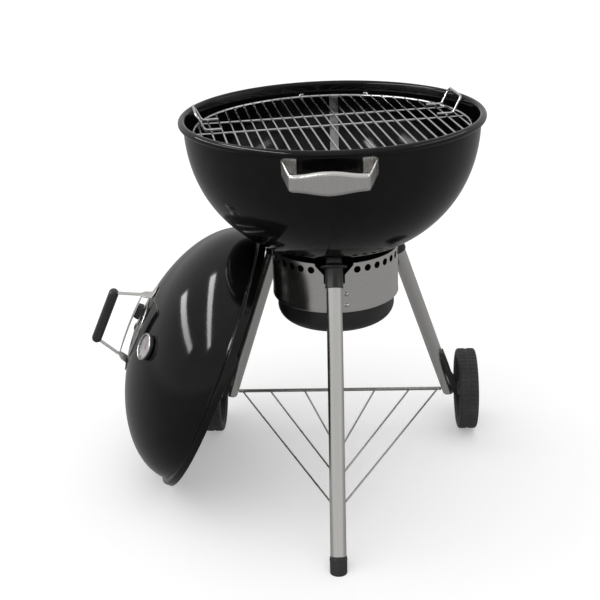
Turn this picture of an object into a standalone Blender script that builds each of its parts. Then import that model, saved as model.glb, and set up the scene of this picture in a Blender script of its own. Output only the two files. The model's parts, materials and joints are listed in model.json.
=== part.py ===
"""Kettle charcoal grill on three legs with two wheels, its lid taken off and leaning on the left rear leg.

Metres, +Z up. The grill's bowl axis is vertical at KETTLE_X, KETTLE_Y, so that the origin is at the middle of
the whole object's footprint, on the floor. The single front leg points to -Y and the wheels are at the back.
"""

import math

import bmesh
import bpy
from mathutils import Matrix, Vector

# ---- Driving dimensions --------------------------------------------------------------------------

KETTLE_X, KETTLE_Y = 0.09795, 0.02865
GAP = 0.0003  # running gap between touching pieces
SHEET = 0.0016  # enamelled steel of the bowl and the lid

RIM_Z, RIM_R, BEAD_R = 0.765, 0.2875, 0.007
BOWL_R, BOWL_DEPTH, BOWL_SHAPE = 0.278, 0.2627, 2.16
BOWL_TOP_Z = RIM_Z - 0.010
VENT_R, VENT_LENGTH, VENT_WIDTH = 0.062, 0.050, 0.012

LID_R, LID_BODY_R, LID_HEIGHT, LID_SHAPE, SKIRT = 0.2822, 0.2712, 0.173, 1.91, 0.014
LID_TILT, LID_YAW = math.radians(24.43), math.radians(4.63)
LID_X, LID_Y = -0.2506, 0.0189
DAMPER_R, DAMPER_HOLE_R, DAMPER_HOLE_AT = 0.063, 0.011, 0.034
DAMPER_GAP, DAMPER_SHEET = 0.0006, 0.0012

TUBE_R, TUBE_WALL = 0.0148, 0.0012
SOCKET_R, SOCKET_TOP_R = 0.0168, 0.0138
FRONT_TOP, FRONT_FOOT = Vector((0, -0.145, 0.466)), Vector((0, -0.372, 0))
REAR_TOP, REAR_END = Vector((0.1262, 0.0792, 0.459)), Vector((0.243, 0.183, 0.089))
FOOT_CAP_LENGTH = 0.028

WHEEL_R, WHEEL_WIDTH, WHEEL_X = 0.089, 0.042, 0.2815
AXLE_Y, AXLE_Z, AXLE_R = REAR_END.y, WHEEL_R, 0.004
HUB_BORE_R = AXLE_R + 0.0005

RING_R, RING_SHEET, RING_TOP_Z, RING_LOW_Z = 0.1236, 0.0012, 0.505, 0.407
RING_HOLE_R, RING_HOLE_DROP = 0.0068, 0.0135
BUCKET_R, BUCKET_TOP_Z, BUCKET_LOW_Z, BUCKET_CORNER = 0.1155, 0.468, 0.355, 0.028

GRATE_Z, GRATE_R, GRATE_WIRE, GRATE_PITCH = RIM_Z - 0.027, 0.2600, 0.0022, 0.0205
GRATE_TURN = math.radians(11)
GRATE_BAR_AT = (0.010, 0.092)  # the two cross bars' places along the rods
GRATE_HANDLE_RISE, GRATE_HANDLE_LEAN = 0.036, 0.015
COAL_Z, COAL_R, COAL_WIRE, COAL_PITCH = 0.600, 0.212, 0.003, 0.026

RACK_WIRE, RACK_ROD = 0.0019, 0.0038

# ---- Collections and materials -------------------------------------------------------------------

for old in list(bpy.data.objects):
    bpy.data.objects.remove(old)

GRILL = bpy.data.collections.new("kettle_grill")
HELPERS = bpy.data.collections.new("cutters")
bpy.context.scene.collection.children.link(GRILL)
bpy.context.scene.collection.children.link(HELPERS)

FINISHES = {
    "enamel": ((0.008, 0.008, 0.009), 0.0, 0.12),
    "stainless": ((0.62, 0.60, 0.57), 1.0, 0.28),
    "chrome": ((0.75, 0.75, 0.76), 1.0, 0.12),
    "zinc": ((0.55, 0.55, 0.54), 1.0, 0.40),
    "black_plastic": ((0.018, 0.018, 0.018), 0.0, 0.50),
    "tread_rubber": ((0.030, 0.030, 0.031), 0.0, 0.70),
    "black_paint": ((0.012, 0.012, 0.012), 0.0, 0.35),
    "dial_paint": ((0.35, 0.34, 0.33), 0.0, 0.50),
    "needle_paint": ((0.45, 0.04, 0.03), 0.0, 0.45),
    "clear_glass": ((0.85, 0.88, 0.88), 0.0, 0.05),
}


def finish(name):
    """The material of one finish, made on first use."""
    found = bpy.data.materials.get(name)
    if found:
        return found
    colour, metallic, roughness = FINISHES[name]
    made = bpy.data.materials.new(name)
    made.use_nodes = True
    shader = made.node_tree.nodes["Principled BSDF"]
    shader.inputs["Base Color"].default_value = (*colour, 1)
    shader.inputs["Metallic"].default_value = metallic
    shader.inputs["Roughness"].default_value = roughness
    made.diffuse_color = (*colour, 1)
    return made


# ---- Modelling tools -----------------------------------------------------------------------------


def empty(name, matrix, parent=None):
    made = bpy.data.objects.new(name, None)
    GRILL.objects.link(made)
    made.parent = parent
    made.matrix_local = matrix
    return made


def add(name, data, parent, look):
    """A part if look names a finish, else a hidden helper."""
    made = bpy.data.objects.new(name, data)
    made.parent = parent
    if look:
        GRILL.objects.link(made)
        data.materials.append(finish(look))
    else:
        HELPERS.objects.link(made)
        made.hide_render = True
        made.display_type = "WIRE"
    return made


def from_bmesh(name, bm, parent, look, sharp=40):
    mesh = bpy.data.meshes.new(name)
    bmesh.ops.recalc_face_normals(bm, faces=bm.faces)
    bm.to_mesh(mesh)
    bm.free()
    mesh.shade_smooth()
    mesh.set_sharp_from_angle(angle=math.radians(sharp))
    return add(name, mesh, parent, look)


def aim(obj, start, direction):
    """Puts obj's origin at start, with its +Z along direction."""
    obj.location = start
    obj.rotation_mode = "QUATERNION"
    obj.rotation_quaternion = Vector(direction).to_track_quat("Z", "Y")
    return obj


def cylinder(name, start, end, radius, parent, look=None, sides=12, end_radius=None):
    start, end = Vector(start), Vector(end)
    bm = bmesh.new()
    bmesh.ops.create_cone(
        bm,
        cap_ends=True,
        segments=sides,
        radius1=radius,
        radius2=radius if end_radius is None else end_radius,
        depth=(end - start).length,
    )
    return aim(from_bmesh(name, bm, parent, look), (start + end) / 2, end - start)


def block(name, size, centre, parent, look=None, turn=0.0):
    bm = bmesh.new()
    bmesh.ops.create_cube(bm, size=1, matrix=Matrix.Diagonal((*size, 1)))
    made = from_bmesh(name, bm, parent, look)
    made.location = centre
    made.rotation_euler = (0, 0, turn)
    return made


def turned(name, profile, parent, look=None, steps=48, closed=True, angle=math.tau):
    """A profile of (radius, height) points turned about +Z. It runs down the outer side."""
    mesh = bpy.data.meshes.new(name)
    ends = len(profile) if closed else len(profile) - 1
    edges = [(i, (i + 1) % len(profile)) for i in range(ends)]
    mesh.from_pydata([(r, 0, z) for r, z in profile], edges, [])
    made = add(name, mesh, parent, look)
    screw = made.modifiers.new("turn", "SCREW")
    screw.axis = "Z"
    screw.angle = angle
    screw.steps = screw.render_steps = steps
    screw.use_merge_vertices = True
    screw.merge_threshold = 0.00001
    screw.use_smooth_shade = True
    return made


def wire(name, points, radius, parent, look=None, sides=8, cyclic=False):
    """A round wire or rod through the points."""
    curve = bpy.data.curves.new(name, "CURVE")
    curve.dimensions = "3D"
    spline = curve.splines.new("POLY")
    spline.points.add(len(points) - 1)
    for place, point in zip(spline.points, points):
        place.co = (*point, 1)
    spline.use_cyclic_u = cyclic
    spline.use_smooth = True
    curve.bevel_depth = radius
    curve.bevel_resolution = (sides - 4) // 2
    curve.use_fill_caps = True
    return add(name, curve, parent, look)


def as_mesh(obj):
    """The same shape as a mesh with welded caps, for use in a Boolean."""
    bpy.context.view_layer.update()
    evaluated = obj.evaluated_get(bpy.context.evaluated_depsgraph_get())
    mesh = bpy.data.meshes.new_from_object(evaluated)
    bm = bmesh.new()
    bm.from_mesh(mesh)
    bmesh.ops.remove_doubles(bm, verts=bm.verts, dist=0.000005)
    bmesh.ops.recalc_face_normals(bm, faces=bm.faces)
    bm.to_mesh(mesh)
    bm.free()
    name, parent, place = obj.name, obj.parent, obj.matrix_world.copy()
    look = obj.users_collection[0] == GRILL
    bpy.data.objects.remove(obj)
    made = bpy.data.objects.new(name, mesh)
    (GRILL if look else HELPERS).objects.link(made)
    made.hide_render = not look
    made.parent = parent
    made.matrix_world = place
    return made


def combine(target, others, operation):
    """Cuts the others from target, or joins them to it, in one Boolean."""
    group = bpy.data.collections.new(f"{target.name}_{operation.lower()}")
    HELPERS.children.link(group)
    for other in others:
        HELPERS.objects.unlink(other)
        group.objects.link(other)
    step = target.modifiers.new(operation.lower(), "BOOLEAN")
    step.operation = operation
    step.operand_type = "COLLECTION"
    step.collection = group
    step.solver = "EXACT"
    return target


def rounded(corners, radius, steps=3):
    """The corner points with each inner corner replaced by an arc that is tangent to both of its sides."""
    corners = [Vector(c) for c in corners]
    path = [corners[0]]
    for before, corner, after in zip(corners, corners[1:], corners[2:]):
        a, b = (before - corner).normalized(), (after - corner).normalized()
        half = a.angle(b) / 2
        reach = min(radius / math.tan(half), 0.45 * min((before - corner).length, (after - corner).length))
        centre = corner + (a + b).normalized() * (reach / math.cos(half))
        start, end = corner + a * reach - centre, corner + b * reach - centre
        path += [centre + start.slerp(end, i / steps) * start.length for i in range(steps + 1)]
    return path + [corners[-1]]


def strap(name, rows, thickness, parent, look=None):
    """A sheet strip through rows of points, each row running across the strip."""
    bm = bmesh.new()
    grid = [[bm.verts.new(p) for p in row] for row in rows]
    for near, far in zip(grid, grid[1:]):
        for i in range(len(near) - 1):
            bm.faces.new((near[i], near[i + 1], far[i + 1], far[i]))
    made = from_bmesh(name, bm, parent, look, sharp=50)
    thick = made.modifiers.new("thickness", "SOLIDIFY")
    thick.thickness = thickness
    thick.offset = 0
    return made


# ---- Turned outlines -----------------------------------------------------------------------------


def power_arc(radius, height, shape, steps, inner_radius=0.0):
    """(radius, drop) points of a superellipse from its widest place to inner_radius on its flat side."""
    inner = math.acos(min(1.0, (inner_radius / radius) ** (shape / 2)))
    angles = [inner * i / steps for i in range(steps + 1)]
    return [(radius * math.cos(a) ** (2 / shape), height * math.sin(a) ** (2 / shape)) for a in angles]


def offset_inwards(outline, distance):
    """The outline moved towards the axis and its hollow side."""
    moved = []
    for i, (r, z) in enumerate(outline):
        r0, z0 = outline[max(i - 1, 0)]
        r1, z1 = outline[min(i + 1, len(outline) - 1)]
        along = Vector((r1 - r0, z1 - z0)).normalized()
        moved.append((r + along.y * distance, z - along.x * distance))
    return moved


def bowl_outside(steps, inner_radius):
    return [(r, BOWL_TOP_Z - d) for r, d in power_arc(BOWL_R, BOWL_DEPTH, BOWL_SHAPE, steps, inner_radius)]


def bowl_height(radius):
    """Height of the bowl's outer skin at this radius."""
    return BOWL_TOP_Z - BOWL_DEPTH * (1 - (radius / BOWL_R) ** BOWL_SHAPE) ** (1 / BOWL_SHAPE)


def lid_height(radius):
    """Height of the lid's outer skin over its rim plane, at this radius."""
    return SKIRT + (LID_HEIGHT - SKIRT) * (1 - (radius / LID_BODY_R) ** LID_SHAPE) ** (1 / LID_SHAPE)


def lid_lean(radius):
    """Angle between the lid's axis and its skin's normal at this radius."""
    step = 0.001
    return math.atan((lid_height(radius - step) - lid_height(radius + step)) / (2 * step))


def arc(centre, radius, start, end, steps):
    """(radius, height) points on a circle, angles in degrees."""
    angles = [math.radians(start + (end - start) * i / steps) for i in range(steps + 1)]
    return [(centre[0] + radius * math.cos(a), centre[1] + radius * math.sin(a)) for a in angles]


def around(radius, angle, z=0.0):
    """A point at this angle from -Y, positive towards +X."""
    return Vector((radius * math.sin(angle), -radius * math.cos(angle), z))


# ---- The frames that the parts hang on -----------------------------------------------------------

kettle = empty("kettle_axis", Matrix.Translation((KETTLE_X, KETTLE_Y, 0)))
lid_turn = (
    Matrix.Rotation(LID_YAW, 4, "Z")
    @ Matrix.Rotation(LID_TILT - math.pi / 2, 4, "Y")
    @ Matrix.Rotation(-math.pi / 2, 4, "Z")
)
lid_rest_z = LID_R * math.cos(LID_TILT) + GAP
lid = empty("lid_axis", Matrix.Translation((LID_X, LID_Y, lid_rest_z)) @ lid_turn, kettle)

# ---- Bowl and its fittings -----------------------------------------------------------------------

HANDLE_SCREW_X, HANDLE_SCREW_Z, SCREW_R = 0.0685, 0.737, 0.003
SHAFT_R = 0.004
BRACKET_ANGLES = [math.radians(a) for a in (60, 180, 300)]
BRACKET_RIVET_R = 0.0025


def handle_screw_places():
    """(name, point on the bowl, outward direction) of the screws that hold the two side handles."""
    for end, side_y in (("front", -1), ("rear", 1)):
        for side, side_x in (("left", -1), ("right", 1)):
            out = Vector((side_x * HANDLE_SCREW_X, 0, 0))
            out.y = side_y * math.sqrt(BOWL_R**2 - HANDLE_SCREW_X**2)
            yield f"{end}_{side}", out + Vector((0, 0, HANDLE_SCREW_Z)), out.normalized()


def bowl_skin():
    return bowl_outside(9, SHAFT_R + 0.0008)[1:]


def wall_radius(z):
    """Radius of the bowl's inner wall at this height."""
    wall = offset_inwards(bowl_skin(), SHEET)
    for (r0, z0), (r1, z1) in zip(wall, wall[1:]):
        if z1 <= z <= z0:
            return r0 + (r1 - r0) * (z - z0) / (z1 - z0)
    return wall[0][0]


def make_bowl():
    outside = bowl_skin()
    bead = arc((RIM_R - BEAD_R, RIM_Z - BEAD_R), BEAD_R, 160, -100, 5)
    inside = offset_inwards(outside, SHEET)
    bowl = turned("bowl", bead + outside + inside[::-1], kettle, "enamel", steps=44)
    cutters = []
    for i in range(3):
        angle = math.radians(120 * i + 60)
        size, centre = (VENT_WIDTH, VENT_LENGTH, 0.05), around(VENT_R, angle, 0.5)
        slot = block(f"vent_cut_{i}", size, centre, kettle, turn=angle)
        cutters.append(slot)
    for place, point, out in handle_screw_places():
        radius = SCREW_R + GAP
        ends = (point - out * 0.01, point + out * 0.01)
        cutters.append(cylinder(f"hole_{place}", *ends, radius, kettle, sides=8))
    return combine(bowl, cutters, "DIFFERENCE")


def make_side_handle(end, turn):
    """A bent steel strap: two tabs on the bowl, two wings, and a wide gripping face with curled edges."""
    skin = BOWL_R + 0.0024
    corners = [
        (0.055, -math.sqrt(skin**2 - 0.055**2), 0),
        (0.0845, -math.sqrt(skin**2 - 0.0845**2), 0),
        (0.0640, -0.3215, 0),
        (0, -0.3290, 0),
    ]
    half = rounded(corners, 0.006)
    path = half[:-1] + [Vector((-p.x, p.y, 0)) for p in half[::-1]]
    rows = []
    for p in path:
        out = min(1.0, max(0.0, (-p.y - 0.277) / 0.040))  # 0 at the tabs, 1 on the gripping face
        bulge = out * math.cos(min(abs(p.x) / 0.066, 1) * math.pi / 2) ** 2
        top = 0.750 - 0.016 * out + 0.0055 * bulge
        low = 0.724 - 0.018 * out - 0.0055 * bulge
        curl = 0.0045 * out
        spread = [(low, curl), (low + 0.002, curl / 4), (low + 0.006, 0)]
        spread += [(top - 0.006, 0), (top - 0.002, curl / 4), (top, curl)]
        rows.append([Matrix.Rotation(turn, 3, "Z") @ Vector((p.x, p.y + back, z)) for z, back in spread])
    handle = strap(f"bowl_handle_{end}", rows, 0.002, kettle, "stainless")
    cutters = []
    for place, point, out in handle_screw_places():
        if place.startswith(end):
            radius = SCREW_R + GAP
            cutters.append(cylinder(f"tab_hole_{place}", point, point + out * 0.009, radius, kettle, sides=8))
    return combine(handle, cutters, "DIFFERENCE")


def make_screw(name, point, out, head, nut, parent):
    """A round-headed screw with its nut run home, head and nut being their distances from the skin."""
    profile = [(0, head + 0.0028), (0.0040, head + 0.0023), (0.0062, head)]
    profile += [(SCREW_R, head), (SCREW_R, -nut), (0.0060, -nut), (0.0060, -nut - 0.0048), (0, -nut - 0.0048)]
    aim(turned(name, profile, parent, "chrome", steps=10, closed=False), point, out)


def make_handle_screws():
    for place, point, out in handle_screw_places():
        make_screw(f"handle_screw_{place}", point, out, 0.0044, 0.0068, kettle)


def make_grate_brackets():
    """Three bent straps on the bowl's inner wall, each with a ledge for both grates."""
    for i, angle in enumerate(BRACKET_ANGLES):
        ledge, lower = GRATE_Z - GRATE_WIRE - 0.0016, COAL_Z - COAL_WIRE - 0.0016
        heights = [ledge + (lower - ledge) * k / 4 for k in range(5)]
        spine = [(wall_radius(z) - 0.0030, z) for z in heights]
        line = [(GRATE_R - 0.010, ledge)] + spine + [(COAL_R - 0.012, lower)]
        half_width = Vector((math.cos(angle), math.sin(angle), 0)) * 0.009
        rows = [[around(r, angle, z) - half_width, around(r, angle, z) + half_width] for r, z in line]
        strap(f"grate_bracket_{i + 1}", rows, 0.0015, kettle, "zinc")


# ---- Legs, foot, wheels and bottom rack ----------------------------------------------------------

LEGS = {
    "front": (FRONT_TOP, FRONT_FOOT),
    "left": (Vector((-REAR_TOP.x, REAR_TOP.y, REAR_TOP.z)), Vector((-REAR_END.x, REAR_END.y, REAR_END.z))),
    "right": (REAR_TOP, REAR_END),
}
RACK_SCREW_R = 0.002


def upwards(place):
    top, low = LEGS[place]
    return (top - low).normalized()


def make_leg(place):
    top, low = LEGS[place]
    up = upwards(place)
    inner = TUBE_R - TUBE_WALL
    base = 0.010 if place == "front" else -0.006
    length = (top - low).length + 0.022
    profile = [(TUBE_R, length), (TUBE_R, base), (inner, base), (inner, length)]
    leg = aim(turned(f"leg_{place}", profile, kettle, "stainless", steps=20), low, up)
    if place == "front":
        cutters = [cylinder("rack_hole", (0, low.y, 0), (0, low.y + 0.06, 0), RACK_ROD + GAP, kettle)]
        cutters[0].location = Vector((0, rack_front_y() + 0.012, AXLE_Z))
    else:
        side = math.copysign(1, low.x)
        ends = [Vector((side * x, AXLE_Y, AXLE_Z)) for x in (0.20, 0.29)]
        cutters = [cylinder(f"axle_hole_{place}", *ends, AXLE_R + GAP, kettle)]
    return combine(leg, cutters, "DIFFERENCE")


def bowl_cutter():
    """A solid that fills the bowl and a gap's width of the space round it."""
    outside = [(r + GAP * 1.5, z - GAP * 1.5) for r, z in bowl_outside(9, 0.0)]
    profile = [(0, BOWL_TOP_Z), (outside[0][0], BOWL_TOP_Z)] + outside[:-1] + [(0, outside[-1][1])]
    return turned("bowl_space", profile, kettle, steps=44, closed=False)


def make_socket(place):
    """The black sleeve welded under the bowl that a leg pushes into."""
    top, _ = LEGS[place]
    bore = TUBE_R + GAP
    profile = [
        (0, 0.075),
        (SOCKET_TOP_R, 0.075),
        (SOCKET_TOP_R, 0.050),
        (SOCKET_R + 0.0005, 0.0425),
        (0.0250, 0.0405),
        (0.0250, 0.0380),
        (SOCKET_R, 0.0360),
        (SOCKET_R, 0.0),
        (bore, 0.0),
        (bore, 0.0235),
        (0, 0.0235),
    ]
    socket = turned(f"leg_socket_{place}", profile, kettle, "black_paint", steps=18, closed=False)
    aim(socket, top, upwards(place))
    return combine(socket, [bowl_cutter()], "DIFFERENCE")


def make_foot_cap():
    up = upwards("front")
    outer = TUBE_R + 0.0012
    bore = TUBE_R + GAP
    profile = [
        (0, 0.0100 - GAP),
        (bore, 0.0100 - GAP),
        (bore, FOOT_CAP_LENGTH),
        (outer - 0.0005, FOOT_CAP_LENGTH),
        (outer, FOOT_CAP_LENGTH - 0.0015),
        (outer, -0.002),
        (outer - 0.002, -0.006),
        (outer - 0.006, -0.0085),
        (0, -0.0085),
    ]
    cap = aim(turned("foot_cap", profile, kettle, "black_plastic", steps=20, closed=False), FRONT_FOOT, up)
    floor_cut = block("floor_cut", (0.1, 0.1, 0.04), FRONT_FOOT - Vector((0, 0, 0.02)), kettle)
    return combine(cap, [floor_cut], "DIFFERENCE")


def make_wheel(side, sign):
    """Tyre, hub with spokes, bolt, washer and cap, on the axle line."""
    centre = Vector((sign * WHEEL_X, AXLE_Y, AXLE_Z))
    out = Vector((sign, 0, 0))
    half = WHEEL_WIDTH / 2
    seat = WHEEL_R - 0.014
    tyre = [
        (WHEEL_R - 0.008, half),
        (WHEEL_R - 0.003, half - 0.002),
        (WHEEL_R, half - 0.008),
        (WHEEL_R, 0.008 - half),
        (WHEEL_R - 0.003, 0.002 - half),
        (WHEEL_R - 0.008, -half),
        (seat, -half + 0.002),
        (seat, half - 0.002),
    ]
    aim(turned(f"tyre_{side}", tyre, kettle, "tread_rubber", steps=32), centre, out)
    felloe, boss = seat - 3 * GAP, 0.014
    hub = [
        (felloe, half - 0.003),
        (felloe, -half + 0.003),
        (felloe - 0.003, -half + 0.003),
        (felloe - 0.004, -0.003),
        (boss + 0.002, -0.003),
        (boss, -half + 0.004),
        (HUB_BORE_R, -half + 0.004),
        (HUB_BORE_R, half - 0.010),
        (boss, half - 0.010),
        (boss + 0.002, 0.003),
        (felloe - 0.004, 0.003),
        (felloe - 0.003, half - 0.003),
    ]
    wheel = aim(turned(f"wheel_hub_{side}", hub, kettle, "black_plastic", steps=24), centre, out)
    windows = []
    for k in range(6):
        angle = math.tau * k / 6
        place = centre + Vector((0, math.cos(angle), math.sin(angle))) * 0.043
        ends = (place - out * 0.01, place + out * 0.01)
        windows.append(cylinder(f"window_{side}_{k}", *ends, 0.0125, kettle, sides=6))
    combine(wheel, windows, "DIFFERENCE")
    head = half - 0.0095
    bolt = [
        (0, head + 0.0050),
        (0.0060, head + 0.0050),
        (0.0066, head + 0.0040),
        (0.0066, head + 0.0015),
        (AXLE_R, head + 0.0015),
        (AXLE_R, -WHEEL_X + 0.2305),
        (0, -WHEEL_X + 0.2305),
    ]
    aim(turned(f"axle_bolt_{side}", bolt, kettle, "zinc", steps=14, closed=False), centre, out)
    washer = [(0.0090, head + 0.0012), (0.0090, head), (AXLE_R + GAP, head), (AXLE_R + GAP, head + 0.0012)]
    aim(turned(f"axle_washer_{side}", washer, kettle, "zinc", steps=16), centre, out)


def make_axle_bracket(side, sign):
    """A black wedge on the outer side of a rear leg, with an upright face for the wheel."""
    _, low = LEGS[side]
    up = upwards(side)
    face = WHEEL_X - WHEEL_WIDTH / 2 + 0.0002
    lean = up.x * sign  # the leg's inward run for each metre along it

    def point(x, along, depth):
        return Vector((sign * x, low.y + up.y * along + depth, low.z + up.z * along))

    outline = [(REAR_END.x + 0.004, -0.013), (face, -0.013), (face, 0.022)]
    outline += [(REAR_END.x + lean * 0.115 + 0.0182, 0.115), (REAR_END.x + lean * 0.115 + 0.008, 0.115)]
    bm = bmesh.new()
    rings = [[bm.verts.new(point(x, s, depth)) for x, s in outline] for depth in (-0.0125, 0.0125)]
    bm.faces.new(rings[0])
    bm.faces.new(rings[1][::-1])
    for i in range(len(outline)):
        j = (i + 1) % len(outline)
        bm.faces.new((rings[0][i], rings[0][j], rings[1][j], rings[1][i]))
    bracket = from_bmesh(f"axle_bracket_{side}", bm, kettle, "black_plastic", sharp=30)
    ends = (low - up * 0.03, low + up * 0.16)
    tube_space = cylinder(f"tube_space_{side}", *ends, TUBE_R + GAP * 1.3, kettle, sides=24)
    ends = [Vector((sign * x, AXLE_Y, AXLE_Z)) for x in (0.20, 0.29)]
    bolt_space = cylinder(f"bolt_space_{side}", *ends, AXLE_R + GAP, kettle)
    return combine(bracket, [tube_space, bolt_space], "DIFFERENCE")


def rack_front_y():
    """Where the front leg's axis crosses the bottom rack's height."""
    share = (AXLE_Z - FRONT_FOOT.z) / (FRONT_TOP.z - FRONT_FOOT.z)
    return FRONT_FOOT.y + (FRONT_TOP.y - FRONT_FOOT.y) * share


def make_rack():
    """One welded wire frame: a cross rod, a middle rod to the front leg, and three V wires."""
    reach = REAR_END.x - TUBE_R - 0.0012
    back = Vector((0, AXLE_Y, AXLE_Z))
    ends = [back + Vector((x, 0, 0)) for x in (-reach, reach)]
    rod = cylinder("bottom_rack", *ends, RACK_ROD, kettle, "stainless", sides=10)
    front = rack_front_y()
    pieces = [cylinder("middle_rod", back, (0, front + 0.006, AXLE_Z), 0.003, kettle, sides=8)]
    lows = (front + 0.0185, front + 0.130, front + 0.235)
    for k, (share, low) in enumerate(zip((0.965, 0.690, 0.350), lows)):
        for side in (-1, 1):
            start = Vector((side * reach * share, AXLE_Y, AXLE_Z))
            stop = Vector((0, low, AXLE_Z))
            pieces.append(cylinder(f"v_wire_{k}_{side}", start, stop, RACK_WIRE, kettle, sides=6))
    return combine(rod, pieces, "UNION")


# ---- Ash ring and bucket -------------------------------------------------------------------------

RING_RIVET_ANGLE, RING_RIVET_R = math.radians(10.5), 0.0022
RING_RIVET_ZS = {"upper": 0.444, "lower": 0.421}
LEG_ANGLES = {
    "front": 0.0,
    "right": math.pi - math.atan2(REAR_TOP.x, REAR_TOP.y),
    "left": math.pi + math.atan2(REAR_TOP.x, REAR_TOP.y),
}


def ring_hole_angles():
    """Three rows of air holes, one between each two legs."""
    stops = sorted(LEG_ANGLES.values()) + [math.tau]
    for start, end in zip(stops, stops[1:]):
        first, last = start + math.radians(20.5), end - math.radians(20.5)
        count = round((last - first) / math.radians(10)) + 1
        yield from (first + (last - first) * k / (count - 1) for k in range(count))


def make_ring():
    profile = [(RING_R, RING_TOP_Z), (RING_R, RING_LOW_Z)]
    profile += [(RING_R - RING_SHEET, RING_LOW_Z), (RING_R - RING_SHEET, RING_TOP_Z)]
    ring = turned("ash_ring", profile, kettle, "stainless", steps=44)
    cutters = []
    for k, angle in enumerate(ring_hole_angles()):
        hole_z = RING_TOP_Z - RING_HOLE_DROP
        ends = [around(RING_R + out, angle, hole_z) for out in (-0.01, 0.01)]
        cutters.append(cylinder(f"air_hole_{k}", *ends, RING_HOLE_R, kettle, sides=8))
    for name, z in RING_RIVET_ZS.items():
        ends = [around(RING_R + out, RING_RIVET_ANGLE, z) for out in (-0.01, 0.01)]
        cutters.append(cylinder(f"rivet_hole_{name}", *ends, RING_RIVET_R + GAP, kettle, sides=8))
    for place, angle in LEG_ANGLES.items():
        outline = [(-0.020, -0.039), (0.020, -0.039), (0.020, -0.022), (0.036, -0.004), (0.036, 0.02)]
        outline += [(-0.036, 0.02), (-0.036, -0.004), (-0.020, -0.022)]
        curve = bpy.data.curves.new(f"notch_{place}", "CURVE")
        curve.dimensions = "2D"
        curve.fill_mode = "BOTH"
        curve.extrude = 0.02
        spline = curve.splines.new("POLY")
        spline.points.add(len(outline) - 1)
        spline.use_cyclic_u = True
        for spot, (x, y) in zip(spline.points, outline):
            spot.co = (x, y, 0, 1)
        notch = add(f"notch_{place}", curve, kettle, None)
        notch.location = around(RING_R, angle, RING_TOP_Z)
        notch.rotation_euler = (math.pi / 2, 0, angle)
        cutters.append(as_mesh(notch))
    return combine(ring, cutters, "DIFFERENCE")


def make_ring_fixings():
    for name, z in RING_RIVET_ZS.items():
        profile = [(0, 0.0022), (0.0024, 0.0019), (0.0042, 0.0006), (0.0042, GAP), (RING_RIVET_R, GAP)]
        profile += [(RING_RIVET_R, -0.0042), (0, -0.0042)]
        rivet = turned(f"ring_rivet_{name}", profile, kettle, "chrome", steps=12, closed=False)
        aim(rivet, around(RING_R, RING_RIVET_ANGLE, z), around(1, RING_RIVET_ANGLE))
    for side in ("left", "right"):
        top, low = LEGS[side]
        share = (0.450 - low.z) / (top.z - low.z)
        leg_point = low.lerp(top, share)
        out = Vector((leg_point.x, leg_point.y, 0)).normalized()
        near = out * (RING_R + 0.0006) + Vector((0, 0, 0.450))
        half_tube = TUBE_R / math.cos(upwards(side).angle((0, 0, 1)))
        span = Vector((leg_point.x, leg_point.y, 0)).length - half_tube - RING_R
        far = near + out * (span - 0.0022)
        cylinder(f"ring_stay_{side}", near, far, 0.0024, kettle, "zinc", sides=8)


def make_bucket():
    low, corner, wall = BUCKET_LOW_Z, BUCKET_CORNER, 0.0012
    outside = [(BUCKET_R, BUCKET_TOP_Z - 0.003)]
    outside += arc((BUCKET_R - corner, low + corner), corner, 0, -90, 4)
    inside = arc((BUCKET_R - corner, low + corner), corner - wall, -90, 0, 4)
    lip = [(BUCKET_R - wall, BUCKET_TOP_Z - 0.003), (BUCKET_R + 0.0003, BUCKET_TOP_Z)]
    lip.append((BUCKET_R + 0.0018, BUCKET_TOP_Z - 0.0015))
    profile = [(0, low + wall)] + inside + lip + outside + [(0, low)]
    turned("ash_bucket", profile, kettle, "black_paint", steps=36, closed=False)


# ---- Ash sweeper ---------------------------------------------------------------------------------

LEVER_Z = bowl_height(0.02) - 0.0065
SWEEPER_GAP = 0.0009


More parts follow.
